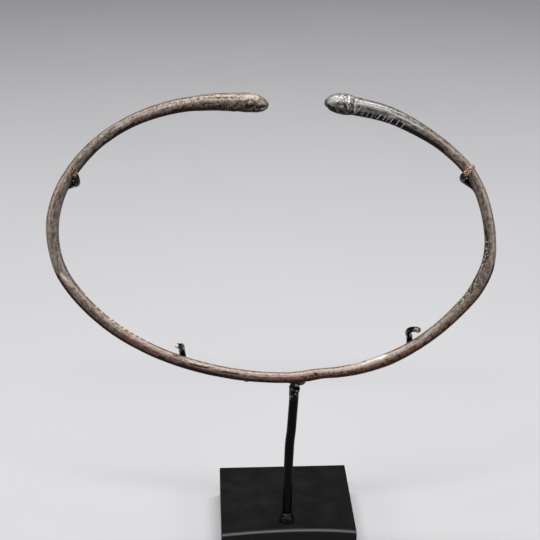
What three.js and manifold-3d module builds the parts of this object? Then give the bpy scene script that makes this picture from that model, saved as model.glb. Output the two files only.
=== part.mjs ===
// Bronze torc with two snake-head terminals, held by a wire cradle on a stemmed block.
// Millimetres, +Z up, -Y is the front. The origin is the centre of the block's underside.
import * as THREE from 'three';
import { mergeVertices } from 'three/addons/utils/BufferGeometryUtils.js';
import Module from 'manifold-3d';

// Driving sizes of the torc, its ring measured from bar centre to bar centre
const RING_WIDTH = 158.3;
const RING_HEIGHT = 99.9;
const BAR_DIAMETER = 4.7;
const LEFT_HEAD_DEPTH = 7.0;
const LEFT_HEAD_LENGTH = 11.9;
const RIGHT_HEAD_DEPTH = 7.6;
const RIGHT_HEAD_LENGTH = 11.1;

// Driving sizes of the stand
const BLOCK_WIDTH = 50.8;
const BLOCK_DEPTH = 50.8;
const BLOCK_HEIGHT = 12.7;
const BLOCK_EDGE = 0.5;
const FRONT_HOLLOW = 2.2;
const STEM_DIAMETER = 3.5;
const STEM_HEIGHT = 61;
const STEM_SETBACK = 9.6;
const STEM_ASIDE = -0.35;
const STEM_KINK = 2.6;
const SOCKET_FLOOR = 5.7;
const COLLAR_DIAMETER = 5.9;
const COLLAR_HEIGHT = 3.7;
const COLLAR_LIP = 0.6;
const COLLAR_TOP_WALL = 0.25;
const BRAZE_LENGTH = 8;
const BRAZE_FILLET = { wide: 6.8, deep: 4.3, high: 4.2, aside: 0.9, below: 1.7 };
const WIRE_DIAMETER = 2.3;
const LEAN = THREE.MathUtils.degToRad(20);

// Space kept between pieces that touch
const FIT_GAP = 0.3;

// Degrees round the bar, from its front towards the ring's inside, at which the wire runs
const BEHIND = 180;

// The bar's centre line, left snout to right snout, as shares of the ring's width and height
const RING_COURSE = [
  [0.495, 0.992], [0.426, 0.999], [0.350, 0.999], [0.269, 0.982], [0.186, 0.938],
  [0.111, 0.867], [0.054, 0.776], [0.018, 0.683], [0.001, 0.588], [0.001, 0.499],
  [0.017, 0.402], [0.059, 0.302], [0.127, 0.199], [0.218, 0.111], [0.324, 0.047],
  [0.435, 0.010], [0.523, 0.000], [0.567, 0.004], [0.605, 0.012], [0.649, 0.017],
  [0.705, 0.033], [0.776, 0.071], [0.848, 0.134], [0.916, 0.221], [0.966, 0.310],
  [0.996, 0.418], [0.994, 0.567], [0.961, 0.717], [0.902, 0.820], [0.835, 0.894],
  [0.768, 0.947], [0.701, 0.976], [0.622, 0.999],
];

// Share of the ring's width at which the stem stands under it
const STEM_SHARE = 0.546;

// The bar's girth: share of the way from snout to snout, share of the bar's diameter
const BAR_GIRTH = [
  [0.030, 1.460], [0.041, 1.385], [0.051, 1.310], [0.061, 1.230], [0.071, 1.120], [0.090, 1.060],
  [0.122, 0.960], [0.155, 0.910], [0.185, 0.930], [0.222, 0.970], [0.245, 1.000], [0.262, 0.980],
  [0.278, 0.930], [0.293, 0.950], [0.308, 0.980], [0.330, 0.950], [0.380, 0.925], [0.430, 0.900],
  [0.470, 0.875], [0.520, 0.820], [0.540, 0.830], [0.555, 0.870], [0.567, 0.820], [0.586, 0.870],
  [0.616, 0.960], [0.631, 0.980], [0.646, 0.950], [0.665, 0.920], [0.694, 0.960], [0.717, 0.990],
  [0.737, 1.090], [0.752, 1.070], [0.767, 0.970], [0.784, 0.900], [0.813, 0.880], [0.850, 0.880],
  [0.880, 0.920], [0.900, 1.020], [0.915, 1.130], [0.928, 1.210], [0.946, 1.300], [0.966, 1.410],
  [0.972, 1.430],
];

// A head's outline from the snout back, as shares of its length and depth, and its eye
const LEFT_HEAD = {
  depth: LEFT_HEAD_DEPTH,
  length: LEFT_HEAD_LENGTH,
  outline: [[0, 0], [0.02, 0.26], [0.12, 0.60], [0.25, 0.82], [0.38, 0.94], [0.57, 1], [0.78, 1], [1, 0.94]],
  eyeBack: 0.55,
  eyeUp: -0.09,
  snoutDrop: 0.07,
};
const RIGHT_HEAD = {
  depth: RIGHT_HEAD_DEPTH,
  length: RIGHT_HEAD_LENGTH,
  outline: [[0, 0], [0.02, 0.24], [0.16, 0.65], [0.34, 0.88], [0.52, 0.985], [0.72, 1], [1, 0.88]],
  eyeBack: 0.53,
  eyeUp: -0.14,
  snoutDrop: 0.03,
};
const HEAD_SPREAD = 1.08;
const SNOUT_DROP_REACH = 0.55;

// Eye bosses and mouth lines, as shares of the head's depth, the mouth's length of its length
const EYE = { length: 0.17, height: 0.13, rise: 0.055 };
const MOUTH = { length: 0.4, front: -0.07, back: -0.24, width: 0.07, cut: 0.05 };

// The worn flat on the inner side of the right arm, as shares of the bar's length and radius,
// and how far it turns to the front
const INNER_FLAT = { from: 0.70, to: 0.83, fade: 0.03, cut: 0.1, turn: THREE.MathUtils.degToRad(40) };

// Claws, root first: mm along the bar, degrees round it from the front, mm off its fit
const UPPER_LEFT_CLAW = {
  share: 0.2045,
  course: [
    [8, 176, 0], [4.2, 168, 0], [2, 140, 0.1], [0.6, 95, 0.1], [-1.3, 48, 0], [-3.0, 10, 0], [-4.1, -12, -0.1],
  ],
};
const UPPER_RIGHT_CLAW = {
  share: 0.8440,
  course: [
    [-9, 176, 0], [-5, 168, 0], [-2, 140, 0], [0.6, 100, 0], [1.9, 50, 0], [2.3, 0, 0], [2.4, -42, 0],
  ],
};
const LOWER_LEFT_CLAW = {
  share: 0.4316,
  course: [
    [7, 180, 2.6], [2.6, 180, 2.6], [0.4, 150, 2.6], [-0.4, 118, 2.0], [-0.7, 90, 1.5], [-1.7, 68, 2.0],
    [-2.7, 55, 2.3],
  ],
};
const LOWER_RIGHT_CLAW = {
  share: 0.6580,
  course: [
    [-7, 180, 2.6], [-2.6, 180, 2.6], [-0.3, 150, 2.5], [0.2, 118, 2.1], [0.9, 90, 2.0], [2.4, 68, 1.8],
    [3.9, 52, 0.9],
  ],
};
const CLAW_TAPER = { length: 7, share: 0.74 };

// Where the front edge is most hollow, as a share of the block's width right of its middle
const HOLLOW_ASIDE = 0.12;

// The stem's centre line, as shares of its height and of its kink
const STEM_COURSE = [
  [0, 0], [0.20, 0.07], [0.42, 0.20], [0.56, 0.36], [0.64, 0.56], [0.80, 0.80], [0.92, 0.97], [1, 1],
];
const BRAZE_LUMPS = 9;
const BRAZE_LUMP_TURN = 2.4;

// Fineness of the meshes
const BAR_SIDES = 20;
const WIRE_SIDES = 8;
const STEM_SIDES = 14;
const LUMP_SIDES = 8;
const TIP_STEP = 0.35;
const BAR_STEP = 4.2;
const WIRE_STEP = 3.4;
const STEM_STEP = 3.6;
const STEP_GROWTH = 0.09;
const CURVE_SAMPLES = 3000;

const wasm = await Module();
wasm.setup();

const bronze = new THREE.MeshStandardMaterial({ color: 0x6f6058, roughness: 0.55, metalness: 0.75 });
const blackIron = new THREE.MeshStandardMaterial({ color: 0x17181a, roughness: 0.35, metalness: 0.3 });
const blackBlock = new THREE.MeshStandardMaterial({ color: 0x232426, roughness: 0.5, metalness: 0.1 });

const wireRadius = WIRE_DIAMETER / 2;
const stemRadius = STEM_DIAMETER / 2;
const stemFoot = new THREE.Vector3(STEM_ASIDE, STEM_SETBACK - BLOCK_DEPTH / 2, BLOCK_HEIGHT);

// Reads a smooth curve through [place, value] stations at one place
function readStations(stations, place) {
  const last = stations.length - 1;
  const inside = THREE.MathUtils.clamp(place, stations[0][0], stations[last][0]);
  const next = Math.max(stations.findIndex(([at]) => at >= inside), 1);
  const [x0, y0] = stations[next - 1];
  const [x1, y1] = stations[next];
  const [xBefore, yBefore] = stations[Math.max(next - 2, 0)];
  const [xAfter, yAfter] = stations[Math.min(next + 1, last)];
  const span = x1 - x0;
  const slope0 = ((y1 - yBefore) / (x1 - xBefore)) * span;
  const slope1 = ((yAfter - y0) / (xAfter - x0)) * span;
  const t = (inside - x0) / span;
  const rise = y1 - y0;
  return y0 + t * (slope0 + t * (3 * rise - 2 * slope0 - slope1 + t * (slope0 + slope1 - 2 * rise)));
}

// A bell-shaped weight, 1 in the middle and 0.37 at one width away
function bell(distance, width) {
  return Math.exp(-((distance / width) ** 2));
}

// The ring's centre line in its own plane: x to the right, y up the plane, z to the front
const ringCurve = new THREE.CatmullRomCurve3(
  RING_COURSE.map(([across, up]) => new THREE.Vector3(
    (across - STEM_SHARE) * RING_WIDTH,
    up * RING_HEIGHT,
    0,
  )),
  false,
  'centripetal',
);
ringCurve.arcLengthDivisions = CURVE_SAMPLES;
const ringLength = ringCurve.getLength();

// The bar's centre and outward direction at a share of its length
function barFrame(share) {
  const tangent = ringCurve.getTangentAt(share);
  return {
    centre: ringCurve.getPointAt(share),
    outward: new THREE.Vector3(tangent.y, -tangent.x, 0),
  };
}

// The nearer head, and how far back from its snout a share of the bar's length lies
function headAt(share) {
  const fromLeft = share * ringLength;
  const fromRight = (1 - share) * ringLength;
  return fromLeft < fromRight
    ? { back: fromLeft, head: LEFT_HEAD }
    : { back: fromRight, head: RIGHT_HEAD };
}

// Half the bar's depth at a share of its length, heads included
function barRadius(share) {
  const { back, head } = headAt(share);
  return back < head.length
    ? (readStations(head.outline, back / head.length) * head.depth) / 2
    : (readStations(BAR_GIRTH, share) * BAR_DIAMETER) / 2;
}

// How much of the inner flat there is at a share of the bar's length
function flatShare(share) {
  const { from, to, fade } = INNER_FLAT;
  const rise = THREE.MathUtils.smoothstep(share, from - fade, from + fade);
  const fall = THREE.MathUtils.smoothstep(share, to - fade, to + fade);
  return rise - fall;
}

// How far a head's face pushes its skin out at a place: eyes rise, the mouth line sinks
function facePush(share, outward, flank) {
  const { back, head } = headAt(share);
  const eye = bell(back - head.eyeBack * head.length, EYE.length * head.depth)
    * bell(outward - head.eyeUp * head.depth, EYE.height * head.depth) * flank;
  const alongMouth = back / (MOUTH.length * head.length);
  const lip = THREE.MathUtils.lerp(MOUTH.front, MOUTH.back, Math.min(alongMouth, 1));
  const mouth = bell(outward - lip * head.depth, MOUTH.width * head.depth)
    * (1 - THREE.MathUtils.smoothstep(alongMouth, 0.8, 1.15))
    * THREE.MathUtils.smoothstep(alongMouth, 0, 0.2);
  return (EYE.rise * eye - MOUTH.cut * mouth) * head.depth;
}

// Shapes a point of the round section: the head's spread and face, the inner flat
function shapeSection(share, outward, front) {
  const size = Math.max(Math.hypot(outward, front), 1e-9);
  const { back, head } = headAt(share);
  const headShare = 1 - THREE.MathUtils.smoothstep(back, head.length, 2.5 * head.length);
  const spread = 1 + (HEAD_SPREAD - 1) * headShare;
  const push = 1 + facePush(share, outward, Math.abs(front) / size) / size;
  const dropReach = SNOUT_DROP_REACH * head.length;
  const drop = head.snoutDrop * head.depth * (1 - THREE.MathUtils.smoothstep(back, 0, dropReach));
  const reach = barRadius(share) * (1 - INNER_FLAT.cut * flatShare(share));
  const [inward, ahead] = [Math.cos(INNER_FLAT.turn), Math.sin(INNER_FLAT.turn)];
  const proud = Math.max(-outward * push * inward + front * push * ahead - reach, 0) * (flatShare(share) > 0);
  return {
    outward: outward * push + proud * inward - drop,
    front: (front * push - proud * ahead) * spread,
  };
}

// Places along a rod: close together near both ends, a longer step between
function rodStations(length, longestStep) {
  const half = [0];
  let place = TIP_STEP;
  while (place < length / 2) {
    half.push(place);
    place += Math.min(TIP_STEP + STEP_GROWTH * place, longestStep);
  }
  return [...half, length / 2, ...half.map((at) => length - at).reverse()];
}

// Turns a straight lathe blank into a bent solid by placing each of its points
function bendBlank(stations, radiusAt, sides, place) {
  const outline = stations.map((along) => new THREE.Vector2(radiusAt(along), along));
  const blank = new THREE.LatheGeometry(outline, sides);
  const points = blank.getAttribute('position');
  for (let i = 0; i < points.count; i += 1) {
    const bent = place(points.getY(i), points.getX(i), points.getZ(i));
    points.setXYZ(i, bent.x, bent.y, bent.z);
  }
  blank.computeVertexNormals();
  return blank;
}

// A rod of changing radius along a curve in space
function bentRod(curve, longestStep, radiusAt, sides) {
  curve.arcLengthDivisions = CURVE_SAMPLES;
  const length = curve.getLength();
  const frames = curve.computeFrenetFrames(CURVE_SAMPLES, false);
  return bendBlank(rodStations(length, longestStep), radiusAt(length), sides, (along, x, z) => {
    const share = THREE.MathUtils.clamp(along / length, 0, 1);
    const sample = Math.round(share * CURVE_SAMPLES);
    return curve.getPointAt(share)
      .addScaledVector(frames.normals[sample], x)
      .addScaledVector(frames.binormals[sample], -z);
  });
}

// Radius along a rod with round ends
function roundEnded(radius) {
  return (length) => (along) => {
    const inside = Math.min(Math.min(along, length - along) / radius, 1);
    return radius * Math.sqrt(Math.max(1 - (1 - inside) ** 2, 0));
  };
}

// Radius along a wire with round ends that thins towards its claw tips
function clawWire(startTapers) {
  return (length) => (along) => {
    const fromTip = startTapers ? Math.min(along, length - along) : length - along;
    const full = THREE.MathUtils.smoothstep(fromTip, 0, CLAW_TAPER.length);
    return roundEnded(wireRadius)(length)(along) * THREE.MathUtils.lerp(CLAW_TAPER.share, 1, full);
  };
}

function toSolid(geometry, matrix = new THREE.Matrix4()) {
  const bare = geometry.clone().applyMatrix4(matrix);
  bare.deleteAttribute('normal');
  bare.deleteAttribute('uv');
  const merged = mergeVertices(bare, 1e-4);
  const corners = merged.getIndex().array;
  const triangles = [];
  for (let i = 0; i < corners.length; i += 3) {
    const [a, b, c] = corners.slice(i, i + 3);
    if (a !== b && b !== c && c !== a) {
      triangles.push(a, b, c);
    }
  }
  return new wasm.Manifold(new wasm.Mesh({
    numProp: 3,
    vertProperties: Float32Array.from(merged.getAttribute('position').array),
    triVerts: Uint32Array.from(triangles),
  }));
}

function fromSolid(solid) {
  const { vertProperties, triVerts } = solid.getMesh();
  const geometry = new THREE.BufferGeometry();
  geometry.setAttribute('position', new THREE.BufferAttribute(vertProperties, 3));
  geometry.setIndex(new THREE.BufferAttribute(triVerts, 1));
  geometry.computeVertexNormals();
  return geometry;
}

// The bar between two shares of its length, grown all round by a margin
function barBetween(from, to, margin) {
  const first = from * ringLength;
  const span = (to - from) * ringLength;
  const radiusAt = (along) => {
    const ends = Math.sqrt(Math.max(1 - Math.abs((2 * along) / span - 1) ** 40, 0));
    return (barRadius((first + along) / ringLength) + margin) * ends;
  };
  return bendBlank(rodStations(span, BAR_STEP), radiusAt, BAR_SIDES, (along, x, z) => {
    const share = THREE.MathUtils.clamp((first + along) / ringLength, 0, 1);
    const { centre, outward } = barFrame(share);
    return centre.addScaledVector(outward, x).setZ(z);
  });
}

function buildTorc() {
  const radiusAt = (along) => barRadius(along / ringLength);
  return bendBlank(rodStations(ringLength, BAR_STEP), radiusAt, BAR_SIDES, (along, x, z) => {
    const share = THREE.MathUtils.clamp(along / ringLength, 0, 1);
    const { centre, outward } = barFrame(share);
    const section = shapeSection(share, x, z);
    return centre.addScaledVector(outward, section.outward).setZ(section.front);
  });
}

// Where a wire's centre lies beside the bar: mm along it, degrees round it from the front
// towards the ring's inside, and mm further off than touching
function besideBar(share, alongBar, degreesRound, off) {
  const place = share + alongBar / ringLength;
  const { centre, outward } = barFrame(place);
  const reach = barRadius(place) + FIT_GAP + wireRadius + off;
  const angle = THREE.MathUtils.degToRad(degreesRound);
  return centre.addScaledVector(outward, -reach * Math.sin(angle)).setZ(reach * Math.cos(angle));
}

function clawPoints({ share, course }) {
  return course.map(([along, angle, off]) => besideBar(share, along, angle, off));
}

// One wire: left claw from its tip, behind the bar round the lower arc, right claw to its tip
function cradleCurve() {
  const start = UPPER_LEFT_CLAW.share + UPPER_LEFT_CLAW.course[0][0] / ringLength;
  const end = UPPER_RIGHT_CLAW.share + UPPER_RIGHT_CLAW.course[0][0] / ringLength;
  const steps = Math.round(((end - start) * ringLength) / (3 * WIRE_STEP));
  const behind = [];
  for (let i = 1; i < steps; i += 1) {
    behind.push(besideBar(start + ((end - start) * i) / steps, 0, BEHIND, 0));
  }
  return new THREE.CatmullRomCurve3(
    [...clawPoints(UPPER_LEFT_CLAW).reverse(), ...behind, ...clawPoints(UPPER_RIGHT_CLAW)],
    false,
    'centripetal',
  );
}

function buildCradle() {
  return bentRod(cradleCurve(), WIRE_STEP, clawWire(true), WIRE_SIDES);
}

function buildLowerClaw(claw) {
  const curve = new THREE.CatmullRomCurve3(clawPoints(claw), false, 'centripetal');
  return bentRod(curve, WIRE_STEP, clawWire(false), WIRE_SIDES);
}

// The share of the bar's length that lies over the stem, found between its lower quarters
function shareOverStem() {
  let left = 0.4;
  let right = 0.7;
  for (let i = 0; i < 40; i += 1) {
    const middle = (left + right) / 2;
    if (ringCurve.getPointAt(middle).x < 0) {
      left = middle;
    } else {
      right = middle;
    }
  }
  return left;
}

function stemPoint([up, aside]) {
  return new THREE.Vector3(aside * STEM_KINK, 0, up * STEM_HEIGHT).add(stemFoot);
}

const stemTop = stemPoint([1, 1]);

// The ring leans back and stands so that the cradle wire crosses the stem's top
const ring = new THREE.Group();
ring.rotation.x = Math.PI / 2 - LEAN;
const wireOverStem = besideBar(shareOverStem(), 0, BEHIND, 0);
ring.position.copy(stemTop).sub(wireOverStem.applyEuler(ring.rotation));
ring.updateMatrix();

// The stem with its braze: lumps down its neck and a fillet under the wire
function buildStem() {
  const socketPoint = stemFoot.clone().setZ(SOCKET_FLOOR + FIT_GAP);
  const curve = new THREE.CatmullRomCurve3([socketPoint, ...STEM_COURSE.map(stemPoint)], false, 'centripetal');
  let solid = toSolid(bentRod(curve, STEM_STEP, roundEnded(stemRadius), STEM_SIDES));
  const fillet = new THREE.SphereGeometry(1, STEM_SIDES, LUMP_SIDES)
    .scale(BRAZE_FILLET.wide / 2, BRAZE_FILLET.deep / 2, BRAZE_FILLET.high / 2)
    .translate(stemTop.x + BRAZE_FILLET.aside, stemTop.y, stemTop.z - BRAZE_FILLET.below);
  solid = solid.add(toSolid(fillet));
  for (let i = 0; i < BRAZE_LUMPS; i += 1) {
    const down = (BRAZE_LENGTH * (i + 0.5)) / BRAZE_LUMPS;
    const axis = curve.getPointAt(1 - down / curve.getLength());
    const lump = new THREE.SphereGeometry(0.62 * stemRadius, LUMP_SIDES, LUMP_SIDES)
      .translate(
        axis.x + 0.55 * stemRadius * Math.cos(i * BRAZE_LUMP_TURN),
        axis.y + 0.55 * stemRadius * Math.sin(i * BRAZE_LUMP_TURN),
        axis.z,
      );
    solid = solid.add(toSolid(lump));
  }
  const roomRadius = roundEnded(wireRadius + FIT_GAP);
  const wireRoom = toSolid(bentRod(cradleCurve(), WIRE_STEP, roomRadius, STEM_SIDES), ring.matrix);
  const overStem = shareOverStem();
  const barRoom = toSolid(barBetween(overStem - 0.05, overStem + 0.05, FIT_GAP), ring.matrix);
  return fromSolid(solid.subtract(wireRoom).subtract(barRoom));
}

// A ring round the stem's foot that flares down to a thin lip
function buildCollar() {
  const inner = stemRadius + FIT_GAP;
  const flare = COLLAR_DIAMETER / 2 - inner - COLLAR_TOP_WALL;
  const skin = [];
  for (let i = 0; i <= 6; i += 1) {
    const up = i / 6;
    skin.push(new THREE.Vector2(
      inner + COLLAR_TOP_WALL + flare * (1 - up) ** 1.8,
      COLLAR_LIP + (COLLAR_HEIGHT - COLLAR_LIP) * up,
    ));
  }
  const profile = [
    new THREE.Vector2(inner, 0),
    new THREE.Vector2(COLLAR_DIAMETER / 2 - 0.1, 0),
    ...skin,
    new THREE.Vector2(inner, COLLAR_HEIGHT),
    new THREE.Vector2(inner, 0),
  ];
  return new THREE.LatheGeometry(profile, 2 * STEM_SIDES)
    .rotateX(Math.PI / 2)
    .translate(stemFoot.x, stemFoot.y, BLOCK_HEIGHT + FIT_GAP);
}

// The block: eased edges, a front edge worn slightly hollow, and a socket for the stem
function buildBlock() {
  const right = BLOCK_WIDTH / 2 - BLOCK_EDGE;
  const back = BLOCK_DEPTH / 2 - BLOCK_EDGE;
  const outline = new THREE.Shape();
  outline.moveTo(-right, back);
  outline.lineTo(-right, -back);
  outline.quadraticCurveTo(HOLLOW_ASIDE * BLOCK_WIDTH, -back + 2 * FRONT_HOLLOW, right, -back);
  outline.lineTo(right, back);
  outline.closePath();
  const body = new THREE.ExtrudeGeometry(outline, {
    depth: BLOCK_HEIGHT - 2 * BLOCK_EDGE,
    bevelThickness: BLOCK_EDGE,
    bevelSize: BLOCK_EDGE,
    bevelSegments: 2,
    curveSegments: 12,
  }).translate(0, 0, BLOCK_EDGE);
  const depth = BLOCK_HEIGHT - SOCKET_FLOOR;
  const bore = stemRadius + FIT_GAP;
  const socket = new THREE.CylinderGeometry(bore, bore, 2 * depth, 2 * STEM_SIDES)
    .rotateX(Math.PI / 2)
    .translate(stemFoot.x, stemFoot.y, BLOCK_HEIGHT);
  return fromSolid(toSolid(body).subtract(toSolid(socket)));
}

function addPiece(parent, name, geometry, material) {
  const piece = new THREE.Mesh(geometry, material.clone());
  piece.name = name;
  parent.add(piece);
}

addPiece(ring, 'torc', buildTorc(), bronze);
addPiece(ring, 'cradle_wire', buildCradle(), blackIron);
addPiece(ring, 'claw_lower_left', buildLowerClaw(LOWER_LEFT_CLAW), blackIron);
addPiece(ring, 'claw_lower_right', buildLowerClaw(LOWER_RIGHT_CLAW), blackIron);

const mountedTorc = new THREE.Group();
mountedTorc.add(ring);
addPiece(mountedTorc, 'stem', buildStem(), blackIron);
addPiece(mountedTorc, 'stem_collar', buildCollar(), blackIron);
addPiece(mountedTorc, 'base_block', buildBlock(), blackBlock);

export default mountedTorc;
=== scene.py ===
"""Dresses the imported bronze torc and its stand: fine meshes, finishes, floor, lights and camera.

Lengths are in millimetres until a mesh is written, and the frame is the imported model's own:
the origin is the centre of the block's underside, +Z is up and -Y is the front.
"""

import logging
import math
from contextlib import contextmanager
from dataclasses import dataclass, field
from enum import Enum
from typing import Callable, Iterator

import bpy
import numpy as np
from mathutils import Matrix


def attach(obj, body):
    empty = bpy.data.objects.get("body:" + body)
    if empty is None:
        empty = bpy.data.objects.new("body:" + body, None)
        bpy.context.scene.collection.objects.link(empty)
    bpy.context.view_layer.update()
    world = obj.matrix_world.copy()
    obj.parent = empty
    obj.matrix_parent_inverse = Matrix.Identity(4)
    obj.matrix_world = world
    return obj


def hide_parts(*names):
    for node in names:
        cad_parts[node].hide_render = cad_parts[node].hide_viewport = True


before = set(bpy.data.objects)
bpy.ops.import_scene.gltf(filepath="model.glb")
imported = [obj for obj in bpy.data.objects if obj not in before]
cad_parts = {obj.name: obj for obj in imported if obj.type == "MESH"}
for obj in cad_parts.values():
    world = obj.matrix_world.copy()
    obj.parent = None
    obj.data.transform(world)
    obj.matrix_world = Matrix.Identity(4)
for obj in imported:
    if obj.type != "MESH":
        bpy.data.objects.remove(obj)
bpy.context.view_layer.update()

MM = 0.001
SEAM_REACH = 2e-6
LOG = logging.getLogger("torc")
Stations = tuple[tuple[float, float], ...]
SPREAD_SAMPLES = 20000
GRAIN_TABLE = 4096
GRAIN_SHIFT = 500.0
HASH_PRIMES = np.array([73856093, 19349663, 83492791])


# Reading curves and fields

def blend_span(start: np.ndarray, climb: np.ndarray, lead: np.ndarray, tail: np.ndarray,
               t: np.ndarray) -> np.ndarray:
    """Crosses one span of a smooth curve.

    Args:
        start: the value where the span starts.
        climb: how much it rises to the span's end.
        lead, tail: its slopes at the start and the end, for the whole span.
        t: how far across to read, from 0 to 1.

    Returns:
        The values.
    """
    return start + t * (lead + t * (3 * climb - 2 * lead - tail + t * (lead + tail - 2 * climb)))


def read_stations(stations: Stations, place: np.ndarray) -> np.ndarray:
    """Reads a smooth curve through (place, value) stations.

    Args:
        stations: the stations in rising order of place.
        place: where to read.

    Returns:
        The values, held level past both ends.
    """
    at, value = np.array(stations).T
    last = len(at) - 1
    inside = np.clip(place, at[0], at[-1])
    after = np.clip(np.searchsorted(at, inside), 1, last)
    outer, beyond = np.maximum(after - 2, 0), np.minimum(after + 1, last)
    span = at[after] - at[after - 1]
    lead = (value[after] - value[outer]) / (at[after] - at[outer]) * span
    tail = (value[beyond] - value[after - 1]) / (at[beyond] - at[after - 1]) * span
    climb = value[after] - value[after - 1]
    t = (inside - at[after - 1]) / span
    return blend_span(value[after - 1], climb, lead, tail, t)


def bell(distance: np.ndarray, width: float) -> np.ndarray:
    """A weight that is 1 in the middle and 0.37 one width away."""
    return np.exp(-((distance / width) ** 2))


def rise(value: np.ndarray, start: float, end: float) -> np.ndarray:
    """A smooth step from 0 at start to 1 at end."""
    t = np.clip((value - start) / (end - start), 0, 1)
    return t * t * (3 - 2 * t)


def band(value: np.ndarray, start: float, end: float, fade: float) -> np.ndarray:
    """A weight of 1 between start and end that fades over a width at both."""
    return rise(value, start - fade, start + fade) - rise(value, end - fade, end + fade)


def grain(points: np.ndarray, size: float, seed: int) -> np.ndarray:
    """Smooth lumps of one size.

    Args:
        points: places, one row each.
        size: the size of a lump, in the unit of the places.
        seed: picks the pattern.

    Returns:
        A value from -1 to 1 for each place.
    """
    table = np.random.default_rng(seed).uniform(-1, 1, GRAIN_TABLE)
    scaled = points / size + GRAIN_SHIFT
    cell = np.floor(scaled).astype(np.int64)
    t = scaled - cell
    t = t * t * (3 - 2 * t)
    total = np.zeros(len(points))
    for corner in np.ndindex(2, 2, 2):
        key = np.bitwise_xor.reduce((cell + corner) * HASH_PRIMES, axis=1)
        weight = np.prod(np.where(corner, t, 1 - t), axis=1)
        total += weight * table[key % GRAIN_TABLE]
    return total


def segment_distance(x: np.ndarray, y: np.ndarray, start: tuple[float, float],
                     end: tuple[float, float]) -> np.ndarray:
    """How far places in a plane lie from a straight stroke.

    Args:
        x, y: the places.
        start, end: the stroke's two ends.

    Returns:
        The distances.
    """
    run, climb = end[0] - start[0], end[1] - start[1]
    t = np.clip(((x - start[0]) * run + (y - start[1]) * climb) / (run * run + climb * climb), 0, 1)
    return np.hypot(x - start[0] - t * run, y - start[1] - t * climb)


class Course:
    """A smooth centre line through points, read by the length along it."""

    def __init__(self, points: np.ndarray, per_span: int = 120) -> None:
        """Samples the line.

        Args:
            points: the points that it passes through, one row each.
            per_span: how many samples each span gets.
        """
        inner = np.asarray(points, float)
        knots = np.vstack([2 * inner[0] - inner[1], inner, 2 * inner[-1] - inner[-2]])
        gaps = np.linalg.norm(np.diff(knots, axis=0), axis=1) ** 0.5
        t = np.linspace(0, 1, per_span, endpoint=False)[:, None]
        spans = []
        for i in range(1, len(knots) - 2):
            a, b, c, d = knots[i - 1:i + 3]
            before, here, after = gaps[i - 1:i + 2]
            lead = ((b - a) / before - (c - a) / (before + here) + (c - b) / here) * here
            tail = ((c - b) / here - (d - b) / (here + after) + (d - c) / after) * here
            spans.append(blend_span(b, c - b, lead, tail, t))
        self.line = np.vstack([*spans, inner[-1:]])
        steps = np.linalg.norm(np.diff(self.line, axis=0), axis=1)
        self.along = np.concatenate([[0.0], np.cumsum(steps)])
        self.length = float(self.along[-1])

    def point(self, along: np.ndarray) -> np.ndarray:
        """The points at lengths along the line."""
        return np.stack([np.interp(along, self.along, self.line[:, k]) for k in range(3)], axis=-1)

    def tangent(self, along: np.ndarray) -> np.ndarray:
        """The unit directions at lengths along the line.

        Args:
            along: the lengths.

        Returns:
            One direction for each.
        """
        step = 0.25
        way = self.point(along + step) - self.point(along - step)
        return way / np.linalg.norm(way, axis=-1, keepdims=True)


# Sizes shared by the torc and its stand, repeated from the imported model

RING_WIDTH, RING_HEIGHT, BAR_DIAMETER = 158.3, 99.9, 4.7
STEM_SHARE = 0.546
LEAN = math.radians(20)
WIRE_RADIUS = 1.15
STEM_RADIUS = 1.75
FIT_GAP = 0.3
BEHIND = 180.0
BLOCK_SIDE, BLOCK_HEIGHT = 50.8, 12.7
STEM_HEIGHT, STEM_KINK = 61.0, 2.6
STEM_FOOT = np.array([-0.35, 9.6 - BLOCK_SIDE / 2, BLOCK_HEIGHT])

RING_COURSE: Stations = (
    (0.495, 0.992), (0.426, 0.999), (0.350, 0.999), (0.269, 0.982), (0.186, 0.938),
    (0.111, 0.867), (0.054, 0.776), (0.018, 0.683), (0.001, 0.588), (0.001, 0.499),
    (0.017, 0.402), (0.059, 0.302), (0.127, 0.199), (0.218, 0.111), (0.324, 0.047),
    (0.435, 0.010), (0.523, 0.000), (0.567, 0.004), (0.605, 0.012), (0.649, 0.017),
    (0.705, 0.033), (0.776, 0.071), (0.848, 0.134), (0.916, 0.221), (0.966, 0.310),
    (0.996, 0.418), (0.994, 0.567), (0.961, 0.717), (0.902, 0.820), (0.835, 0.894),
    (0.768, 0.947), (0.701, 0.976), (0.622, 0.999),
)
BAR_GIRTH: Stations = (
    (0.030, 1.460), (0.041, 1.385), (0.051, 1.310), (0.061, 1.230), (0.071, 1.120), (0.090, 1.060),
    (0.122, 0.960), (0.155, 0.910), (0.185, 0.930), (0.222, 0.970), (0.245, 1.000), (0.262, 0.980),
    (0.278, 0.930), (0.293, 0.950), (0.308, 0.980), (0.330, 0.950), (0.380, 0.925), (0.430, 0.900),
    (0.470, 0.875), (0.520, 0.820), (0.540, 0.830), (0.555, 0.870), (0.567, 0.820), (0.586, 0.870),
    (0.616, 0.960), (0.631, 0.980), (0.646, 0.950), (0.665, 0.920), (0.694, 0.960), (0.717, 0.990),
    (0.737, 1.090), (0.752, 1.070), (0.767, 0.970), (0.784, 0.900), (0.813, 0.880), (0.850, 0.880),
    (0.880, 0.920), (0.900, 1.020), (0.915, 1.130), (0.928, 1.210), (0.946, 1.300), (0.966, 1.410),
    (0.972, 1.430),
)
STEM_COURSE: Stations = (
    (0, 0), (0.20, 0.07), (0.42, 0.20), (0.56, 0.36), (0.64, 0.56), (0.80, 0.80), (0.92, 0.97), (1, 1),
)


@dataclass(frozen=True)
class HeadPlan:
    """One snake head: its outline from the snout back, its eye, lips and how far its snout droops."""

    depth: float
    length: float
    outline: Stations
    eye_back: float
    eye_up: float
    snout_drop: float
    lip_front: float
    lip_back: float


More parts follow.
